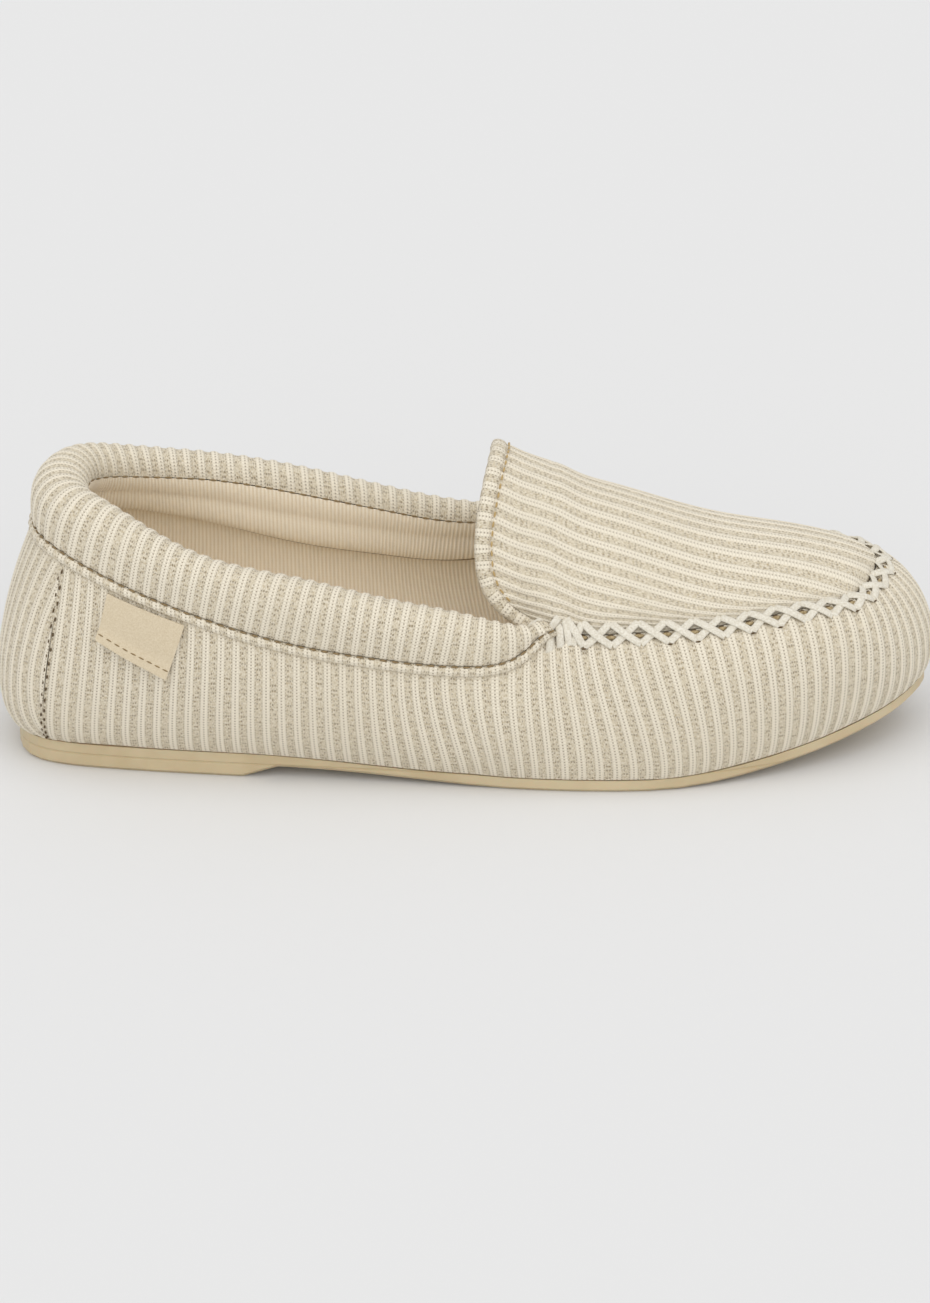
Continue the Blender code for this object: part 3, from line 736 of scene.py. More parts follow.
def newPiece(name, points, faces, finish, uv=None, fields=None, sharp=50):
    points = points + toFrame
    centred = points - points.mean(0)
    if volumeOf(centred, faces) < 0:
        faces = [face[::-1] for face in faces]
    mesh = bpy.data.meshes.new(name)
    mesh.from_pydata(points.tolist(), [], faces)
    corners = np.zeros(len(mesh.loops), dtype=np.int32)
    mesh.loops.foreach_get("vertex_index", corners)
    if uv is not None:
        layer = mesh.uv_layers.new(name="knit")
        layer.data.foreach_set("uv", uv[corners].astype(np.float32).ravel())
    for key, values in (fields or {}).items():
        addField(mesh, key, values)
    mesh.materials.append(finish)
    mesh.validate()
    mesh.shade_smooth()
    mesh.set_sharp_from_angle(angle=math.radians(sharp))
    return dressed(linked(name, mesh))


def lined(name, outer, inner, ring, uv, finish):
    # a thin shell with the same cloth on both its faces
    mesh, faces = solidBetween(outer, inner, ring=ring)
    return newPiece(name, mesh, faces, finish, np.vstack([uv, uv]), sharp=60)


def dressed(piece):
    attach(piece, "root")
    return piece


# Geometry trees

def newTree(name, sizes):
    # takes a shape, some sizes and a finish, and gives a shape
    tree = bpy.data.node_groups.new(name, "GeometryNodeTree")
    tree.interface.new_socket("Geometry", in_out="INPUT", socket_type="NodeSocketGeometry")
    for label in sizes:
        tree.interface.new_socket(label, in_out="INPUT", socket_type="NodeSocketFloat")
    tree.interface.new_socket("Finish", in_out="INPUT", socket_type="NodeSocketMaterial")
    tree.interface.new_socket("Geometry", in_out="OUTPUT", socket_type="NodeSocketGeometry")
    board = Board(tree)
    return tree, board, board.add("NodeGroupInput")


def endTree(board, shape, finish):
    whole = board.add("GeometryNodeRealizeInstances", None, {0: shape})
    whole = board.add("GeometryNodeSetMaterial", None, {"Geometry": whole, "Material": finish})
    board.add("NodeGroupOutput", None, {0: whole})


def ribTree():
    tree, board, given = newTree("raise the ribs", ("Rib height",))
    side = (board.field("rib").part() - 0.5).size() * 2
    bulge = 1 - side.between(*knit["ribEdge"])
    height = (bulge - knit["ribSunk"]) * board.field("lift") * given.output("Rib height")
    normal = board.add("GeometryNodeInputNormal")
    offset = board.add("ShaderNodeVectorMath", {"operation": "SCALE"}, {0: normal, "Scale": height})
    moved = board.add("GeometryNodeSetPosition", None, {"Geometry": given, "Offset": offset})
    endTree(board, moved, given.output("Finish"))
    return tree


def stitchTree():
    # a rounded stitch at every point, lying along one direction and facing another
    tree, board, given = newTree("lay the stitches", ("Length", "Width", "Height"))
    ball = board.add("GeometryNodeMeshUVSphere", None, {"Segments": 8, "Rings": 5, "Radius": 0.5})
    turn = board.add(
        "FunctionNodeAxesToRotation", {"primary_axis": "X", "secondary_axis": "Z"},
        {0: board.field("along", "FLOAT_VECTOR"), 1: board.field("out", "FLOAT_VECTOR")},
    )
    size = board.place(given.output("Length"), given.output("Width"), given.output("Height"))
    laid = board.add(
        "GeometryNodeInstanceOnPoints", None,
        {"Points": given, "Instance": ball, "Rotation": turn, "Scale": size},
    )
    endTree(board, laid, given.output("Finish"))
    return tree


def threadTree():
    # a soft thread along every line, flattened against what it faces away from
    tree, board, given = newTree("run the threads", ("Width", "Flatness"))
    line = board.add("GeometryNodeMeshToCurve", None, {0: given})
    out = board.field("out", "FLOAT_VECTOR")
    line = board.add("GeometryNodeSetCurveNormal", {"mode": "FREE"}, {"Curve": line, "Normal": out})
    thick = board.field("thick")
    line = board.add("GeometryNodeSetCurveRadius", None, {"Curve": line, "Radius": thick})
    ring = board.add(
        "GeometryNodeCurvePrimitiveCircle", None,
        {"Resolution": 10, "Radius": given.output("Width") * 0.5},
    )
    ring = board.add(
        "GeometryNodeTransform", None,
        {"Geometry": ring, "Scale": board.place(given.output("Flatness"), 1.0, 1.0)},
    )
    run = board.add(
        "GeometryNodeCurveToMesh", None, {"Curve": line, "Profile Curve": ring, "Fill Caps": True}
    )
    endTree(board, run, given.output("Finish"))
    return tree


def grown(piece, tree, inputs):
    # runs a geometry tree on a piece and keeps the result as its plain mesh
    runner = piece.modifiers.new(tree.name, "NODES")
    runner.node_group = tree
    for item in tree.interface.items_tree:
        if item.in_out == "INPUT" and item.name in inputs:
            runner[item.identifier] = inputs[item.name]
    deps = bpy.context.evaluated_depsgraph_get()
    made = bpy.data.meshes.new_from_object(piece.evaluated_get(deps), depsgraph=deps)
    piece.modifiers.remove(runner)
    old = piece.data
    piece.data = made
    made.name = piece.name
    made.materials.clear()
    made.materials.append(inputs["Finish"])
    bpy.data.meshes.remove(old)
    return piece


ribs, stitches, threads = ribTree(), stitchTree(), threadTree()


def ribbed(name, points, faces, finish, uv, lift):
    piece = newPiece(name, points, faces, finish, uv, {"rib": uv[:, 0], "lift": lift})
    return grown(piece, ribs, {"Rib height": knit["ribHeight"], "Finish": finish})


def stitched(name, points, along, out, finish, sizes):
    mesh = bpy.data.meshes.new(name)
    mesh.from_pydata((points + toFrame).tolist(), [], [])
    addField(mesh, "along", along)
    addField(mesh, "out", out)
    inputs = dict(zip(("Length", "Width", "Height"), sizes))
    piece = grown(linked(name, mesh), stitches, {**inputs, "Finish": finish})
    piece.data.shade_smooth()
    return dressed(piece)


def threaded(name, lines, faces, thick, width, flatness, finish):
    # thick is a share of the width for each line
    points, edges, out, shares = [], [], [], []
    for line, away, share in zip(lines, faces, thick):
        first = len(points)
        points.extend(line)
        out.extend(away)
        shares.extend([share] * len(line))
        edges.extend((first + k, first + k + 1) for k in range(len(line) - 1))
    mesh = bpy.data.meshes.new(name)
    mesh.from_pydata((np.array(points) + toFrame).tolist(), edges, [])
    addField(mesh, "out", out)
    addField(mesh, "thick", shares)
    inputs = {"Width": width, "Flatness": flatness, "Finish": finish}
    piece = grown(linked(name, mesh), threads, inputs)
    piece.data.shade_smooth()
    return dressed(piece)


finishes = {
    "wall": knitFinish("ribbed knit"),
    "apron": knitFinish("ribbed knit, apron", fade=0.7),
    "lining": liningFinish("brushed lining"),
    "footbed": liningFinish("brushed footbed", relief=0.8),
    "rubber": rubberFinish("moulded sole"),
}
# the opening and hole finishes are painted shade, for the shaded seam gap and the insides of holes
for key, title, light, shade, grain in (
    ("thread", "cross stitch yarn", (230, 225, 212), (208, 200, 182), 0.0005),
    ("topstitch", "topstitch thread", (156, 134, 97), (120, 100, 68), 0.0003),
    ("opening", "painted seam gap shade", (186, 167, 130), (140, 120, 84), 0.0005),
    ("ochre", "ochre stitch thread", (198, 172, 122), (168, 140, 92), 0.0003),
    ("hole", "painted hole shade", (104, 84, 56), (80, 64, 42), 0.0003),
    ("label", "plain woven tab", (215, 201, 175), (203, 187, 158), 0.0004),
):
    finishes[key] = clothFinish(title, colour(*light), colour(*shade), grain)


# Soft creases: each lies at a place round the shoe and up the wall, in metres of depth
creases = (
    # around, up, half width round, half height, depth
    (0.150, 0.45, 0.030, 0.40, -0.0006),
    (0.300, 0.30, 0.060, 0.25, 0.0005),
    (0.470, 0.55, 0.035, 0.35, -0.0006),
    (0.640, 0.60, 0.022, 0.50, -0.0004),
    (0.760, 0.35, 0.040, 0.30, -0.0005),
    (0.880, 0.45, 0.030, 0.40, -0.0004),
    (1.120, 0.45, 0.030, 0.40, -0.0004),
    (1.260, 0.40, 0.040, 0.30, -0.0005),
    (1.420, 0.55, 0.035, 0.35, -0.0005),
    (1.560, 0.50, 0.040, 0.35, -0.0006),
    (1.720, 0.35, 0.060, 0.30, 0.0005),
    (1.850, 0.45, 0.030, 0.40, -0.0006),
)


def creased(around, up):
    total = np.zeros(np.broadcast(around, up).shape)
    for place, height, wide, tall, depth in creases:
        near = ((around - place) / wide) ** 2 + ((up - height) / tall) ** 2
        total = total + depth * np.exp(-near)
    return total


crossStitch = {
    "pitch": 0.0072,
    "reach": 0.0024,          # from the middle of the row to where the knit is drawn in
    "down": 0.0011,           # how far the row's middle lies below the apron's edge
    "top": 0.0015,            # holes in the apron, in from its edge
    "low": 0.0043,            # holes in the wall, down from the apron's edge
    "toeDrop": 0.0014,        # how much lower the row lies round the toe
    "lowDrop": 0.6,           # share of that drop which the wall's holes take
    "toeFrom": 0.058,
    "width": 0.0021,
    "flatness": 0.34,
    "start": 0.0073,          # first hole, from the throat corner along the seam
    "pucker": 0.0004,         # how far the knit is drawn in at the holes
    "valley": 0.0006,         # how deep the seam lies
    "valleyWidth": 0.0024,
    "puckerWidth": 0.0022,
    "cornerEase": 0.01,       # share of the way round over which it starts at a throat corner
    "sunk": 0.0004,           # how deep the ends of a thread go in
    # how high a thread lies at the crossing, how much more the upper one does, and how much
    # of that is gone round the toe
    "lift": (0.0001, 0.0006, 0.6),
    "hump": 0.0003,
    "toeSlim": 0.66,          # how much of its width is gone round the toe
    "bundleWidth": 0.85,
    # sizes of the painted shade pieces: the seam gap's lenses and the holes
    "opening": (0.0031, 0.0013, 0.0008),
    "hole": (0.0015, 0.0005, 0.0005),
    "holeBelow": 0.0008,      # painted shade of a hole under the end of a thread
    "holePattern": (1, 0, 0, 1, 1, 0, 1),
}


# The seam from the outer throat corner round the toe to the inner one
seamAround = np.linspace(shoe["throatCorner"], 2 - shoe["throatCorner"], 1201)
seamRun = runLengths(rimPoint(seamAround), 0)


def puckerAt(around, distance):
    # drawn in at every hole, and into the seam itself
    run = np.interp(around, seamAround, seamRun)
    distance = np.abs(distance)
    near = np.exp(-((distance - crossStitch["reach"]) / crossStitch["puckerWidth"]) ** 2)
    ease = crossStitch["cornerEase"]
    onSeam = smooth((around - shoe["throatCorner"] + ease) / (2 * ease))
    onSeam = onSeam * smooth((2 - shoe["throatCorner"] + ease - around) / (2 * ease))
    wave = 0.5 + 0.5 * np.cos(2 * np.pi * run / crossStitch["pitch"])
    valley = crossStitch["valley"] * (1 - smooth(distance / crossStitch["valleyWidth"]))
    return -(crossStitch["pucker"] * wave * near + valley) * onSeam


# The knit wall

wall = {
    "columnsPerRib": 9,
    "rows": 40,
    "innerRows": 10,
    # how far a rib runs forward as it drops, from the heel at 0 to the toe at 1
    "lean": ((0.10, 0.0), (0.25, 0.01), (0.50, 0.0), (0.62, -0.06), (0.86, -0.05), (1.0, 0.0)),
    "knitShare": 0.55,        # share of the wall's thickness that is knit
    "liningFrom": 0.59,       # and from where it is lining
    "seamGap": 0.0006,        # from the heel panel to the rest, as a share of the way round
}


def wallPanel(name, start, end, heel):
    # a stretch of the wall as knit outside and a coarse back face
    probe = np.linspace(start, end, 2001)
    middle = wallPoint(probe, 0.5)
    run = runLengths(middle, 0)
    count = int(run[-1] / knit["pitch"]) * wall["columnsPerRib"]
    around = np.interp(np.linspace(0, run[-1], count + 1), run, probe)
    up = np.linspace(0, 1, wall["rows"] + 1)[:, None]
    points = wallPoint(around[None], up)
    normal = wallNormal(around[None], up)
    climb = runLengths(points, 0)
    below = climb[-1:] - climb
    if heel:
        across = runLengths(points, 1)
        zero = np.array([np.interp(0.0, around, row) for row in across])[:, None]
        rib = (across - zero) / knit["pitch"]
    else:
        level = np.interp(around, probe, run)[None]
        lean = np.interp(1 - np.abs(1 - around), *zip(*wall["lean"])) * np.sign(1 - around)
        drop = climb[len(climb) // 2][None] - climb
        rib = (level - lean * drop) / knit["pitch"]
    push = creased(around[None] % 2, up) + puckerAt(around[None], below - crossStitch["down"])
    points = points + normal * push[..., None]
    back = np.linspace(0, 1, wall["innerRows"] + 1)[:, None]
    backNormal = wallNormal(around[None], back)
    backNormal[-1] = rimThrough(around)
    inner = wallPoint(around[None], back) - backNormal * shoe["wall"] * wall["knitShare"]
    mesh, faces = solidBetween(points, inner, ring=False)
    uv = pairs(rib, climb / knit["course"])
    uvBack = pairs(rib[:1], back * 40)
    edge = smooth(np.minimum(up, 1 - up) / 0.02) * np.ones_like(climb)
    lift = np.concatenate([edge.ravel(), np.zeros(len(uvBack))])
    piece = ribbed(name, mesh, faces, finishes["wall"], np.vstack([uv, uvBack]), lift)
    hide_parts("upper")


print("wall")
heelSeam = shoe["heelSeam"]
wallPanel("vamp_knit", heelSeam + wall["seamGap"], 2 - heelSeam - wall["seamGap"], heel=False)
wallPanel("heel_panel_knit", -heelSeam, heelSeam, heel=True)


def wallLining():
    around = np.linspace(0, 2, 481)[:-1]
    up = np.linspace(0, 1, 25)[:, None]
    points = wallPoint(around[None], up)
    through = wallNormal(around[None], up)
    through[-1] = rimThrough(around)
    inner, outer = (points - through * shoe["wall"] * depth for depth in (1.0, wall["liningFrom"]))
    probe = np.linspace(0, 2, 2001)
    run = np.interp(around, probe, runLengths(wallPoint(probe, 0.5), 0))
    uv = pairs(run[None] / lining["line"], runLengths(inner, 0) / lining["row"])
    piece = lined("wall_lining", inner, outer, True, uv, finishes["lining"])
    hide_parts("upper")


wallLining()


# The apron over the instep

apron = {
    "columns": 300,
    "rows": 96,
    "innerRows": 24,
    "liningColumns": 60,
    "fan": 0.07,              # how far the ribs spread on the sides as they run to the toe
    # share, across, half width of each, depth: where the knit fills out or sinks by the throat
    "folds": (
        (-0.085, 0.86, 0.050, 0.16, 0.0014),
        (0.010, 0.66, 0.060, 0.22, -0.0012),
    ),
}


def apronGrid(rows, columns):
    across = np.sin(np.pi / 2 * np.linspace(-1, 1, columns + 1))[None]
    step = np.linspace(0, 1, rows + 1)[:, None]
    spacing = 0.4 * step + 0.6 * np.sin(np.pi / 2 * step)
    start = throatShare(across)
    return start + (1 - start) * spacing, np.broadcast_to(across, (rows + 1, columns + 1))


def makeApron():
    share, across = apronGrid(apron["rows"], apron["columns"])
    points = apronPoint(share, across)
    through = apronThrough(share, across)
    middle = apron["columns"] // 2
    run = runLengths(points, 1)
    run = run - run[:, middle:middle + 1]
    length = runLengths(points, 0)
    length = length - [np.interp(0.0, share[:, k], length[:, k]) for k in range(length.shape[1])]
    run = run - apron["fan"] * np.sign(run) * smooth(np.abs(run) / 0.025) * (length + 0.02)
    around = besideSeam(np.clip(share, 0, 1), across)
    distance = np.linalg.norm(points - seamEdge(share, across), axis=-1)
    onSide = smooth((share + 0.03) / 0.03)
    push = puckerAt(around, distance + crossStitch["down"]) * onSide
    size = np.abs(across)
    for alongAt, acrossAt, alongWide, acrossWide, depth in apron["folds"]:
        near = ((share - alongAt) / alongWide) ** 2 + ((size - acrossAt) / acrossWide) ** 2
        push = push + depth * np.exp(-near) * smooth(distance / 0.004)
    points = points + through * push[..., None]
    backShare, backAcross = apronGrid(apron["innerRows"], apron["columns"])
    inner = apronPoint(backShare, backAcross)
    inner = inner - apronThrough(backShare, backAcross) * shoe["wall"] * wall["knitShare"]
    mesh, faces = solidBetween(points, inner, ring=False)
    uvBack = np.zeros((inner.shape[0] * inner.shape[1], 2))
    uv = np.vstack([pairs(run / knit["pitch"], length / knit["course"]), uvBack])
    fade = smooth(distance / 0.003) * smooth((share - throatShare(across)) / 0.01)
    lift = np.concatenate([fade.ravel(), np.zeros(len(uvBack))])
    piece = ribbed("apron_knit", mesh, faces, finishes["apron"], uv, lift)
    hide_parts("apron")


def makeApronLining():
    share, across = apronGrid(apron["innerRows"], apron["liningColumns"])
    points = apronPoint(share, across)
    through = apronThrough(share, across)
    outer, inner = (points - through * shoe["wall"] * depth for depth in (wall["liningFrom"], 1.0))
    uv = pairs(runLengths(points, 1) / lining["line"], runLengths(points, 0) / lining["row"])
    piece = lined("apron_lining", outer, inner, False, uv, finishes["lining"])
    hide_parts("apron")


print("apron")
makeApron()
makeApronLining()


# The padded collar: knit over the top, and a brushed band inside

collar = {
    "columnsPerRib": 9,
    "middle": 3.5,            # places on the section, counted in its corners
    "knitTo": 7.60,
    "bandFrom": 7.67,
    "bandTo": 9.10,
    # out and up: where the knit and the band run on inside the padding
    "rolled": ((-0.72, 0.62), (-0.45, 0.52), (-0.15, 0.30), (-0.10, 0.01)),
    "hidden": ((-0.14, 0.0), (-0.20, 0.34), (-0.50, 0.55)),
    "bandRun": 0.993,         # the band ends just short of the knit
    "bandDrop": 0.0012,       # how far it hangs over the lining below it
    "bandClear": 0.0004,
    "tip": 0.0022,            # how far from its ends the knit starts to close
    "bandTip": 0.00352,
    "lean": 0.24,             # how far a rib runs forward as it climbs on the outer side
    "innerLean": 0.02,
    "leanFrom": 0.040,        # no lean nearer the heel's middle than this, in metres of run
    "leanTo": 0.080,          # and less of it beyond this
    "wrapRun": 0.99,
}
sectionCurve = smoothCurve(range(len(collarSection)), collarSection, period=len(collarSection))


def collarPoints(around, section):
    # section holds rows of out and up, the same at every place
    base, up, out, height, thickness = rimFrame(around)
    foot = shoe["gap"] + shoe["pipingWidth"] + shoe["gap"]
    height = np.maximum(height - foot, 0.001)
    side, rise = section[:, 0][None, :, None], section[:, 1][None, :, None]
    free = smooth(rise / 0.3)
    through = rimThrough(around)[:, None]
    across = unit(out[:, None] * free + through * (1 - free))
    return (
        base[:, None] + up[:, None] * (foot + rise * height[:, None])
        + across * side * thickness[:, None]
    )


def roundedEnds(points, run, length):
    # draws both ends of a tube in to a soft tip
    near = np.clip(np.minimum(run - run[0], run[-1] - run) / length, 0, 1)
    size = np.sqrt(1 - (1 - near) ** 2)[:, None, None]
    centre = points.mean(1, keepdims=True)
    return centre + (points - centre) * np.maximum(size, 0.05)


def collarRun():
    end = shoe["throatCorner"]
    probe = np.linspace(-end, end, 2001)
    return probe, runLengths(collarPoints(probe, sectionCurve([collar["middle"]]))[:, 0], 0)


def makeCollar():
    probe, run = collarRun()
    count = int(run[-1] / knit["pitch"]) * collar["columnsPerRib"]
    around = np.interp(np.linspace(0, run[-1], count + 1), run, probe)
    at = np.interp(around, probe, run) - run[-1] / 2
    face = sectionCurve(np.linspace(0, collar["knitTo"], 30))
    points = collarPoints(around, np.vstack([face, collar["rolled"]]))
    climb = runLengths(points, 1)
    size = np.abs(at)
    lean = np.where(at > 0, collar["lean"], -collar["innerLean"])
    lean = lean * smooth(size / collar["leanFrom"])
    lean = lean * (1 - 0.6 * smooth((size - collar["leanTo"]) / 0.04))
    rib = (at[:, None] - lean[:, None] * climb) / knit["pitch"]
    mesh, faces = tubeThrough(roundedEnds(points, at, collar["tip"]))
    uv = pairs(rib, climb / knit["course"])
    lift = np.ones(points.shape[:2])
    lift[:, 0] = 0.3
    lift[:, len(face) - 1:] = 0
    ends = smooth(np.minimum(np.arange(count + 1), count - np.arange(count + 1)) / 6)
    lift = lift * ends[:, None]
    piece = ribbed("collar_knit", mesh, faces, finishes["wall"], uv, lift.ravel())
    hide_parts("collar")


def makeBand():
    probe, run = collarRun()
    end = shoe["throatCorner"]
    around = np.linspace(-end, end, 401) * collar["bandRun"]
    face = sectionCurve(np.linspace(collar["bandFrom"], collar["bandTo"], 14))
    band = collarPoints(around, face)
    base, up, out, _, thickness = rimFrame(around)
    inward = -np.sum((band[:, -1] - base) * out, -1, keepdims=True)
    level = np.sum((band[:, -1] - base) * up, -1, keepdims=True)
    drop = collar["bandDrop"] * np.minimum(thickness / 0.0085, 1)
    close = shoe["wall"] + collar["bandClear"]
    rows = list(np.moveaxis(band, 1, 0))
    for turn in np.linspace(0, np.pi / 2, 9)[1:]:
        depth = close + np.maximum(inward - close, 0.0001) * max(math.cos(turn), 0.0) ** 0.5
        rows.append(base - out * depth + up * (level - (level + drop) * math.sin(turn)))
    crease = rows[-1] - out * 0.0006 - up * 0.0001
    rows.append(base - out * (shoe["wall"] + 0.0001) - up * drop * 0.8)
    rows.extend(np.moveaxis(collarPoints(around, np.array(collar["hidden"])), 1, 0))
    points = np.stack(rows, 1)
    at = np.interp(around, probe, run)
    mesh, faces = tubeThrough(roundedEnds(points, at, collar["bandTip"]))
    uv = pairs(at[:, None] / lining["line"], runLengths(points, 1) / lining["row"])
    piece = newPiece("collar_band", mesh, faces, finishes["lining"], uv, sharp=60)
    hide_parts("collar")
    # a thin dark thread under the band's lower edge stands for the shadow in the crease there:
    # painted shade
    threaded("band_crease_shadow", [crease], [-out], [1.0], 0.0008, 0.8, finishes["topstitch"])


print("collar")
makeCollar()
makeBand()


# Piping and binding

trim = {
    "pipingProud": 0.0012,
    "pipingBumps": 0.16,      # how much the knit's ribs stand up where they cross the strip
    "bindingProud": 0.0007,
    "bindingBumps": 0.10,
    "bindingLap": 0.0006,     # how far the binding lies over the apron's edge
    "bindingRun": 0.985,      # share of the throat that it covers
}


def ribWaves(run, share):
    return 1 + share * np.cos(2 * np.pi * run / knit["pitch"])[:, None]


def strip(name, rows, run):
    # rows are the lines along a folded strip, in order round it
    points = np.stack(rows, 1)
    mesh, faces = tubeThrough(points)
    uv = pairs(run[:, None] / knit["pitch"], runLengths(points, 1) / knit["course"])
    return newPiece(name, mesh, faces, finishes["wall"], uv)


def makePiping():
    end = shoe["throatCorner"]
    around = np.linspace(-end, end, 700)
    base, up, out = rimFrame(around)[:3]
    gap, width = shoe["gap"], shoe["pipingWidth"]
    run = runLengths(base, 0)
    bumps = ribWaves(run, trim["pipingBumps"])
    rows = []
    for turn in np.linspace(0, np.pi, 9):
        rise = 0.5 - 0.5 * math.cos(turn)
        proud = trim["pipingProud"] * math.sin(turn) * bumps
        rows.append(base + up * (gap * 0.2 + (width + gap) * rise) + out * proud)
    back = rimThrough(around) * shoe["wall"]
    rows.extend(base + up * (gap + width * rise) - back for rise in (1.0, 0.0))
    piece = strip("piping_strip", rows, run)
    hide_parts("collar_piping")


def bindingEdge(count):
    across = trim["bindingRun"] * np.sin(np.pi / 2 * np.linspace(-1, 1, count))
    share = throatShare(across)
    edge = apronPoint(share, across)
    through = apronThrough(share, across)
    back = unit(np.cross(through, aheadOf(edge)))
    behind = apronPoint(share - 0.02, across) - apronPoint(share + 0.02, across)
    return edge, through, facing(back, behind)


def makeBinding():
    edge, through, back = bindingEdge(260)
    width, thickness, lap = shoe["bindingWidth"], shoe["wall"], trim["bindingLap"]
    run = runLengths(edge, 0)
    bumps = ribWaves(run, trim["bindingBumps"])
    rows = []
    for turn in np.linspace(0, 2 * np.pi, 25)[:-1]:
        behind = 0.5 - 0.5 * math.cos(turn)
        proud = abs(math.sin(turn)) ** 0.6 * math.copysign(1, math.sin(turn))
        depth = thickness / 2 - proud * (thickness / 2 + trim["bindingProud"])
        rows.append(edge + back * ((width + lap) * behind - lap) - through * depth * bumps)
    piece = strip("binding_strip", rows, run)
    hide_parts("throat_binding")


print("trim")
makePiping()
makeBinding()


# The bare label

tab = {
    "thickness": 0.0008,
    "stand": 0.0004,          # off the wall, and how much more its lower edge and rear end curl
    "lowCurl": 0.0011,
    "endCurl": 0.0005,
    "stitchRow": 0.14,        # share of its height over the lower edge
    "stitches": 9,
    "stitch": (0.0017, 0.0004, 0.0004),
}


def makeLabel():
    s = np.linspace(0, 1, 25)[None]
    t = np.linspace(0, 1, 15)[:, None]
    a, b, c, d = (np.array(corner) for corner in labelCorners)
    at = blend(blend(a, b, s), blend(d, c, s), t)
    around, up = at[..., 0], at[..., 1]
    normal = wallNormal(around, up)
    stand = shoe["gap"] + tab["stand"] + tab["lowCurl"] * smooth((0.30 - t) / 0.30)
    stand = stand + tab["endCurl"] * smooth((s - 0.7) / 0.3) * (1 - t)
    outer = wallPoint(around, up) + normal * (stand + tab["thickness"])[..., None]
    inner = wallPoint(around, up) + normal * stand[..., None]
    mesh, faces = solidBetween(outer, inner, ring=False)
    piece = newPiece("blank_tab", mesh, faces, finishes["label"])
    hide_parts("label")
    row = int(round(tab["stitchRow"] * (len(outer) - 1)))
    columns = outer.shape[1]
    share = np.linspace(0.05, 0.95, tab["stitches"]) * (columns - 1)
    place = [np.interp(share, np.arange(columns), outer[row][:, k]) for k in range(3)]
    place = np.stack(place, -1)
    stitched(
        "tab_stitches", place, aheadOf(place), normal[row][share.astype(int)],
        finishes["topstitch"], tab["stitch"],
    )


print("label")
makeLabel()


# The cross stitch and the finer seams

def seamSurface(around, offset):
    # places beside the seam: offset is metres up the apron, or down the wall where negative
    below = 1 - np.maximum(-offset, 0) / shoe["seamHeight"]
    corner = shoe["throatCorner"]
    outerSide = around < 1
    share = np.where(outerSide, around - corner, 2 - corner - around) / (1 - corner)
    half = np.linalg.norm(seamPoint(-1, share) - seamPoint(1, share), axis=-1) / 2
    inward = np.minimum(np.maximum(offset, 0) / np.maximum(half, 0.006), 0.9)
    across = np.where(outerSide, -1 + inward, 1 - inward)
    above = (offset > 0)[..., None]
    place = np.where(above, apronPoint(np.minimum(share, 1), across), wallPoint(around, below))
    away = np.where(above, apronNormal(share, across), wallNormal(around, below))
    return place, unit(away)


def toeShare(run):
    # 1 round the toe and 0 beside the throat
    fromEnd = np.minimum(run, seamRun[-1] - run)
    return smooth((fromEnd - crossStitch["toeFrom"]) / 0.030)


# Threads gathered at each throat corner: where a thread starts and ends, and how far it
# stands up in its middle. On the seam a place is run along it and rise over it, on the
# collar's end it is a share of the way to the corner and a share of the collar's height.
cornerThreads = (
    (("collar", 0.925, 0.62), ("seam", -0.0028, 0.0012), 0.0010),
    (("collar", 0.972, 0.30), ("seam", 0.0012, 0.0016), 0.0012),
    (("seam", -0.0010, 0.0006), ("seam", -0.0018, -0.0050), 0.0010),
    (("seam", 0.0010, 0.0008), ("seam", 0.0014, -0.0052), 0.0012),
    (("seam", 0.0028, 0.0013), ("seam", 0.0036, -0.0047), 0.0009),
    (("seam", 0.0030, 0.0015), ("seam", 0.0073, -0.0042), 0.0010),
    (("seam", 0.0044, -0.0044), ("seam", 0.0073, 0.0014), 0.0007),
)


def threadEnd(side, kind, run, rise):
    if kind == "collar":
        around = np.array([shoe["throatCorner"] * run * side])
        base, up, out, height, thickness = rimFrame(around)
        return (base + up * height * rise + out * thickness * crestOut)[0], out[0]
    around = np.interp(run if side > 0 else seamRun[-1] - run, seamRun, seamAround)
    slope = (seamAround[1] - seamAround[0]) / (seamRun[1] - seamRun[0])
    around = around + min(run, 0) * slope * side
    spot, away = seamSurface(np.array([around]), np.array([rise]))
    return spot[0] - away[0] * crossStitch["sunk"], away[0]


def cornerBundle():
    made = []
    t = np.linspace(0, 1, 9)[:, None]
    for side in (1, -1):
        for first, last, stand in cornerThreads:
            (start, startAway), (end, endAway) = threadEnd(side, *first), threadEnd(side, *last)
            away = unit(startAway * (1 - t) + endAway * t)
            line = start * (1 - t) + end * t + away * stand * np.sin(np.pi * t) ** 0.7
            made.append((line, away))
    return made


def stitchMarks():
    # where the holes lie along the seam, round the shoe, and how much lower by the toe
    first, last = crossStitch["start"], seamRun[-1] - crossStitch["start"]
    count = int(round((last - first) / crossStitch["pitch"]))
    marks = np.linspace(first, last, count + 1)
    around = np.interp(marks, seamRun, seamAround)
    return marks, around, crossStitch["toeDrop"] * toeShare(marks)


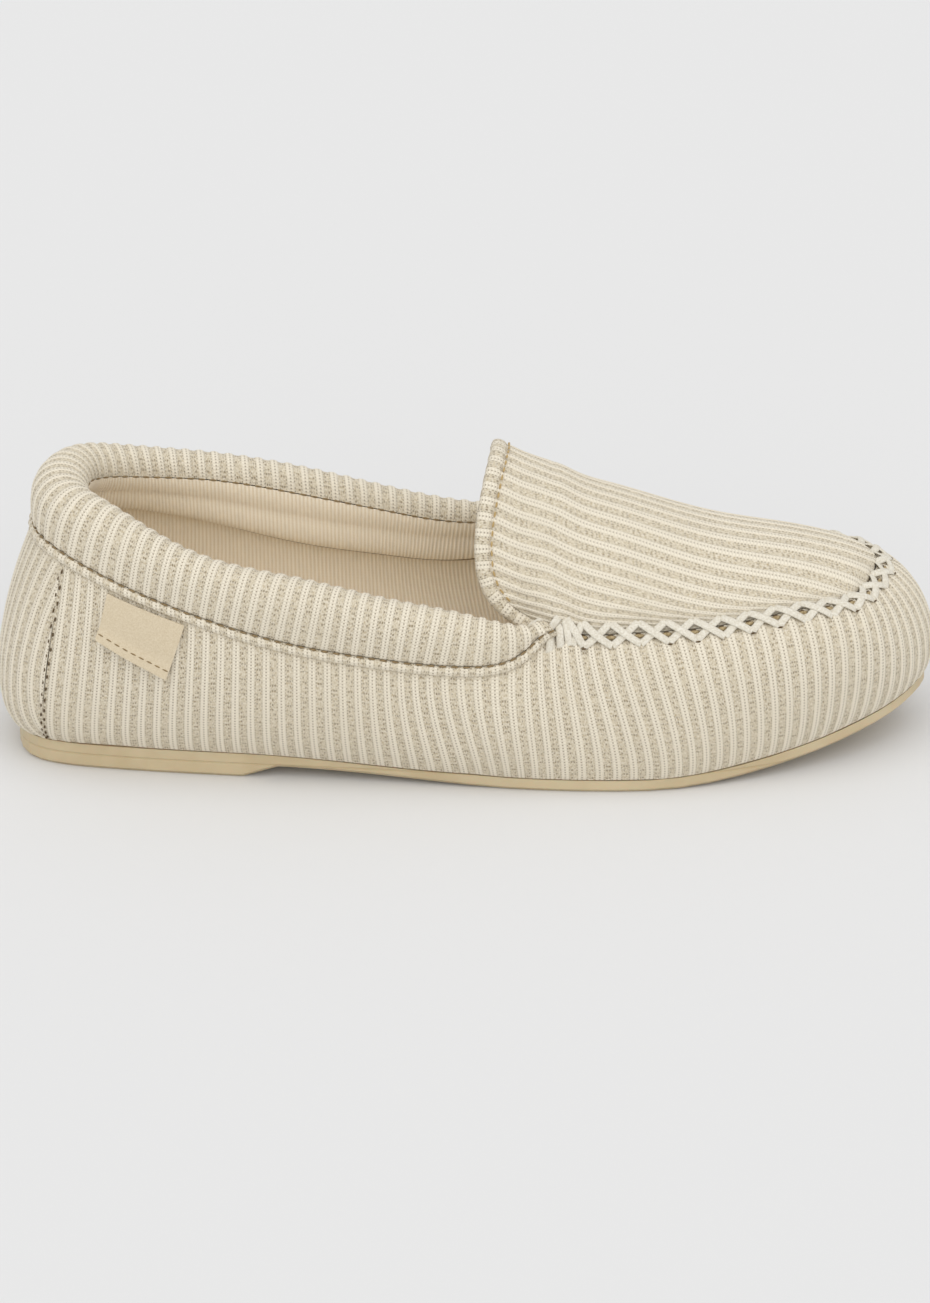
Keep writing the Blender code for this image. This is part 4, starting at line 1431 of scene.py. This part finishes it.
def crossThreads():
    marks, around, drop = stitchMarks()
    topHole, topNormal = seamSurface(around, crossStitch["top"] - drop)
    lowHole, lowNormal = seamSurface(around, -crossStitch["low"] - drop * crossStitch["lowDrop"])
    low, more, gone = crossStitch["lift"]
    midway = (marks[1:] + marks[:-1]) / 2
    centre = np.interp(midway, seamRun, seamAround)
    centreDown = crossStitch["down"] + crossStitch["toeDrop"] * toeShare(midway)
    middle, lift = seamSurface(centre, -centreDown)
    t = np.linspace(0, 1, 9)[:, None]
    lines, faces, thick = [], [], []
    for k in range(len(midway)):
        for over, (start, startNormal, end, endNormal) in enumerate((
            (lowHole[k], lowNormal[k], topHole[k + 1], topNormal[k + 1]),
            (topHole[k], topNormal[k], lowHole[k + 1], lowNormal[k + 1]),
        )):
            high = middle[k] + lift[k] * (low + over * more * (1 - gone * toeShare(midway[k])))
            start = start - startNormal * crossStitch["sunk"]
            end = end - endNormal * crossStitch["sunk"]
            control = 2 * high - (start + end) / 2
            line = (1 - t) ** 2 * start + 2 * t * (1 - t) * control + t ** 2 * end
            rise = np.sin(np.pi * t) ** 0.5 * crossStitch["hump"]
            lines.append(line + rise * lift[k])
            faces.append(unit(startNormal * (1 - t) + endNormal * t + lift[k]))
            thick.append(1 - crossStitch["toeSlim"] * toeShare(midway[k]))
    for line, away in cornerBundle():
        lines.append(line)
        faces.append(away)
        thick.append(crossStitch["bundleWidth"])
    threaded(
        "cross_stitches", lines, faces, thick, crossStitch["width"], crossStitch["flatness"],
        finishes["thread"],
    )


def seamHoles():
    # painted shade: tan lenses for the shaded seam gap between the crosses, a dark painted shadow
    # under the threads just above them, and some needle holes under them, dark with painted shade
    _, around, drop = stitchMarks()
    down = crossStitch["down"]
    gapAt, gapNormal = seamSurface(around, -down - 0.0001 - drop)
    gapAhead = aheadOf(gapAt)
    stitched(
        "seam_gap_shade", gapAt - gapNormal * 0.0005, gapAhead, gapNormal,
        finishes["opening"], crossStitch["opening"],
    )
    low = crossStitch["low"] + crossStitch["holeBelow"] + drop * crossStitch["lowDrop"]
    lowAt, lowFace = seamSurface(around, -low)
    some = np.resize(crossStitch["holePattern"], len(around)).astype(bool)
    # a dark bead just above each opening is a painted shadow under the threads
    shadeAt = seamSurface(around, -down + 0.0006 - drop)[0]
    holes = np.vstack([shadeAt - gapNormal * 0.0003, lowAt[some]])
    ahead = np.vstack([gapAhead, aheadOf(lowAt)[some]])
    stitched(
        "stitch_hole_shade", holes, ahead, np.vstack([gapNormal, lowFace[some]]),
        finishes["hole"], crossStitch["hole"],
    )


# Rows of stitches: from one to the next, then each one's length, width and height
stitchRows = {
    "piping": (0.0031, (0.0021, 0.00055, 0.0006)),
    "wrap": (0.0031, (0.0022, 0.0006, 0.0005)),
    "binding": (0.0026, (0.0018, 0.0006, 0.0006)),
    "heel": (0.0014, (0.0013, 0.0005, 0.0005)),     # the first is how far they sway
}


def pipingStitches():
    pitch, size = stitchRows["piping"]

    def along(around, proud):
        base, up, out = rimFrame(around)[:3]
        return base + up * (shoe["gap"] * 1.5 + shoe["pipingWidth"]) + out * proud, out

    probe = np.linspace(-shoe["throatCorner"], shoe["throatCorner"], 2001)
    run = runLengths(along(probe, 0.0004)[0], 0)
    marks = np.arange(pitch / 2, run[-1], pitch)
    place, out = along(np.interp(marks, run, probe), 0.0005)
    stitched(
        "piping_stitches", place, aheadOf(place), out,
        finishes["topstitch"], size,
    )


def wrapStitches():
    # where the knit over the collar is sewn to the band inside
    pitch, size = stitchRows["wrap"]
    end = shoe["throatCorner"] * collar["wrapRun"]
    around = np.linspace(-end, end, 2001)
    section = sectionCurve([(collar["knitTo"] + collar["bandFrom"]) / 2])
    line = collarPoints(around, section)[:, 0]
    run = runLengths(line, 0)
    pick = np.searchsorted(run, np.arange(0.0015, run[-1], pitch))
    out = rimFrame(around)[2]
    stitched(
        "wrap_stitches", line[pick], aheadOf(line)[pick], -out[pick],
        finishes["topstitch"], size,
    )


def bindingStitches():
    edge, through, back = bindingEdge(600)
    pitch, size = stitchRows["binding"]
    line = edge - back * 0.0007 + through * 0.0005
    run = runLengths(line, 0)
    pick = np.searchsorted(run, np.arange(0.0012, run[-1], pitch))
    stitched(
        "binding_stitches", line[pick], aheadOf(edge)[pick], through[pick],
        finishes["ochre"], size,
    )


def heelSeams():
    # two rows of needle holes, set left and right in turn, as dark beads of painted shade
    sway, size = stitchRows["heel"]
    up = np.linspace(0.04, 0.97, 30)
    sway = sway * np.where(np.arange(len(up)) % 2, 1, -1)
    around = np.concatenate([side * (shoe["heelSeam"] + sway) for side in (1, -1)])
    up = np.tile(up, 2)
    out = wallNormal(around, up)
    stitched(
        "heel_seam_hole_shade", wallPoint(around, up) + out * 0.0001,
        unit(wallPoint(around, up + 0.01) - wallPoint(around, up - 0.01)), out,
        finishes["hole"], size,
    )


print("stitches")
crossThreads()
seamHoles()
pipingStitches()
wrapStitches()
bindingStitches()
heelSeams()


# The footbed inside

bed = {
    "columns": 120,
    "clear": 0.0002,          # from the wall's inner face
    "edge": 0.0016,           # its thickness at the side
    "round": 0.003,           # width of the rounded edge
    "dish": 0.0006,
    "raise": 0.0004,
}


def makeFootbed():
    columns = bed["columns"]
    inset = shoe["wall"] + bed["clear"]
    dense = np.linspace(0, 1, 801)
    share = (1 - np.cos(np.pi * np.linspace(0, 1, columns + 1))) / 2
    sides = []
    for flip in (False, True):
        xs = soleEdge(2 - dense if flip else dense)[:, 0]
        at = np.interp(share * shoe["soleLength"], xs, dense)
        at = 2 - at if flip else at
        sides.append(soleEdge(at) - outward(at) * inset)
    across = np.sin(np.pi / 2 * np.linspace(-1, 1, 31))
    level = sides[0][None] * ((1 - across) / 2)[:, None, None]
    level = level + sides[1][None] * ((1 + across) / 2)[:, None, None]
    size = np.linalg.norm(sides[1] - sides[0], axis=-1)[None]
    fromEdge = (1 - np.abs(across))[:, None] * size / 2
    crown = np.sqrt(np.clip(fromEdge / bed["round"], 0, 1))
    dish = -bed["dish"] * smooth(fromEdge / 0.015)
    low = level.copy()
    low[..., 2] = soleTop(level[..., 0]) + shoe["gap"]
    top = low.copy()
    rise = (shoe["insoleThickness"] - bed["edge"]) * crown
    top[..., 2] += bed["edge"] + rise + dish + bed["raise"]
    uv = pairs(level[..., 1] / lining["line"], level[..., 0] / lining["row"])
    piece = lined("footbed", top, low, False, uv, finishes["footbed"])
    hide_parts("insole")


print("footbed and sole")
makeFootbed()
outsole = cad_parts["outsole"]
for holder in outsole.material_slots:
    holder.material = finishes["rubber"]


# Floor, light and camera

studio = {
    "floor": colour(226, 226, 226),
    "reach": 6.0,
    "corners": ((-1, -1), (1, -1), (1, 1), (-1, 1)),
    "light": 0.69,
    "key": 1.44,
    "keySpread": 95,          # degrees, as from a wide soft box
    "keyFrom": (0.05, -0.70, 1.0),
}


def makeFloor():
    mesh = bpy.data.meshes.new("floor")
    corners = [(x * studio["reach"], y * studio["reach"], 0) for x, y in studio["corners"]]
    mesh.from_pydata(corners, [], [(0, 1, 2, 3)])
    made, board = newFinish("pale floor")
    constants = {"Base Color": studio["floor"], "Roughness": 0.9, "Specular IOR Level": 0.1}
    closeFinish(board, {}, constants)
    mesh.materials.append(made)
    floor = linked("floor", mesh)


def makeLight():
    bpy.context.scene.view_settings.view_transform = "Standard"
    world = bpy.data.worlds.new("studio")
    world.use_nodes = True
    sky = world.node_tree.nodes["Background"].inputs
    sky["Color"].default_value = (1, 1, 1, 1)
    sky["Strength"].default_value = studio["light"]
    bpy.context.scene.world = world
    lamp = bpy.data.lights.new("key", "SUN")
    lamp.energy = studio["key"]
    lamp.angle = math.radians(studio["keySpread"])
    linked("key", lamp).rotation_euler = turnedTo(-np.array(studio["keyFrom"]))


def turnedTo(direction):
    return Vector(direction).to_track_quat("-Z", "Y").to_euler()


view = {
    "height": 26.0,           # degrees over the floor
    "turn": -0.5,
    "distance": 1.6,
    "metresPerPixel": 0.0002688,
    "aimAlong": 0.1485,       # what the lens points at, from the back of the sole
    "aimPixel": (574, 729),   # where that lies in the photograph
    "frame": (930, 1303),
    "sensor": 36.0,
}


def makeCamera():
    turn, height = math.radians(view["turn"]), math.radians(view["height"])
    back = np.array([
        math.sin(turn) * math.cos(height), -math.cos(turn) * math.cos(height), math.sin(height),
    ])
    aim = np.array([view["aimAlong"], 0.0, 0.0]) + toFrame
    lens = bpy.data.cameras.new("camera")
    width, tall = view["frame"]
    lens.sensor_fit = "HORIZONTAL"
    lens.sensor_width = view["sensor"]
    lens.lens = view["sensor"] * view["distance"] / (width * view["metresPerPixel"])
    lens.shift_x = -(view["aimPixel"][0] - width / 2) / width
    lens.shift_y = (view["aimPixel"][1] - tall / 2) / width
    camera = linked("camera", lens)
    camera.location = aim + back * view["distance"]
    camera.rotation_euler = turnedTo(-back)
    bpy.context.scene.camera = camera


print("studio")
makeFloor()
makeLight()
makeCamera()
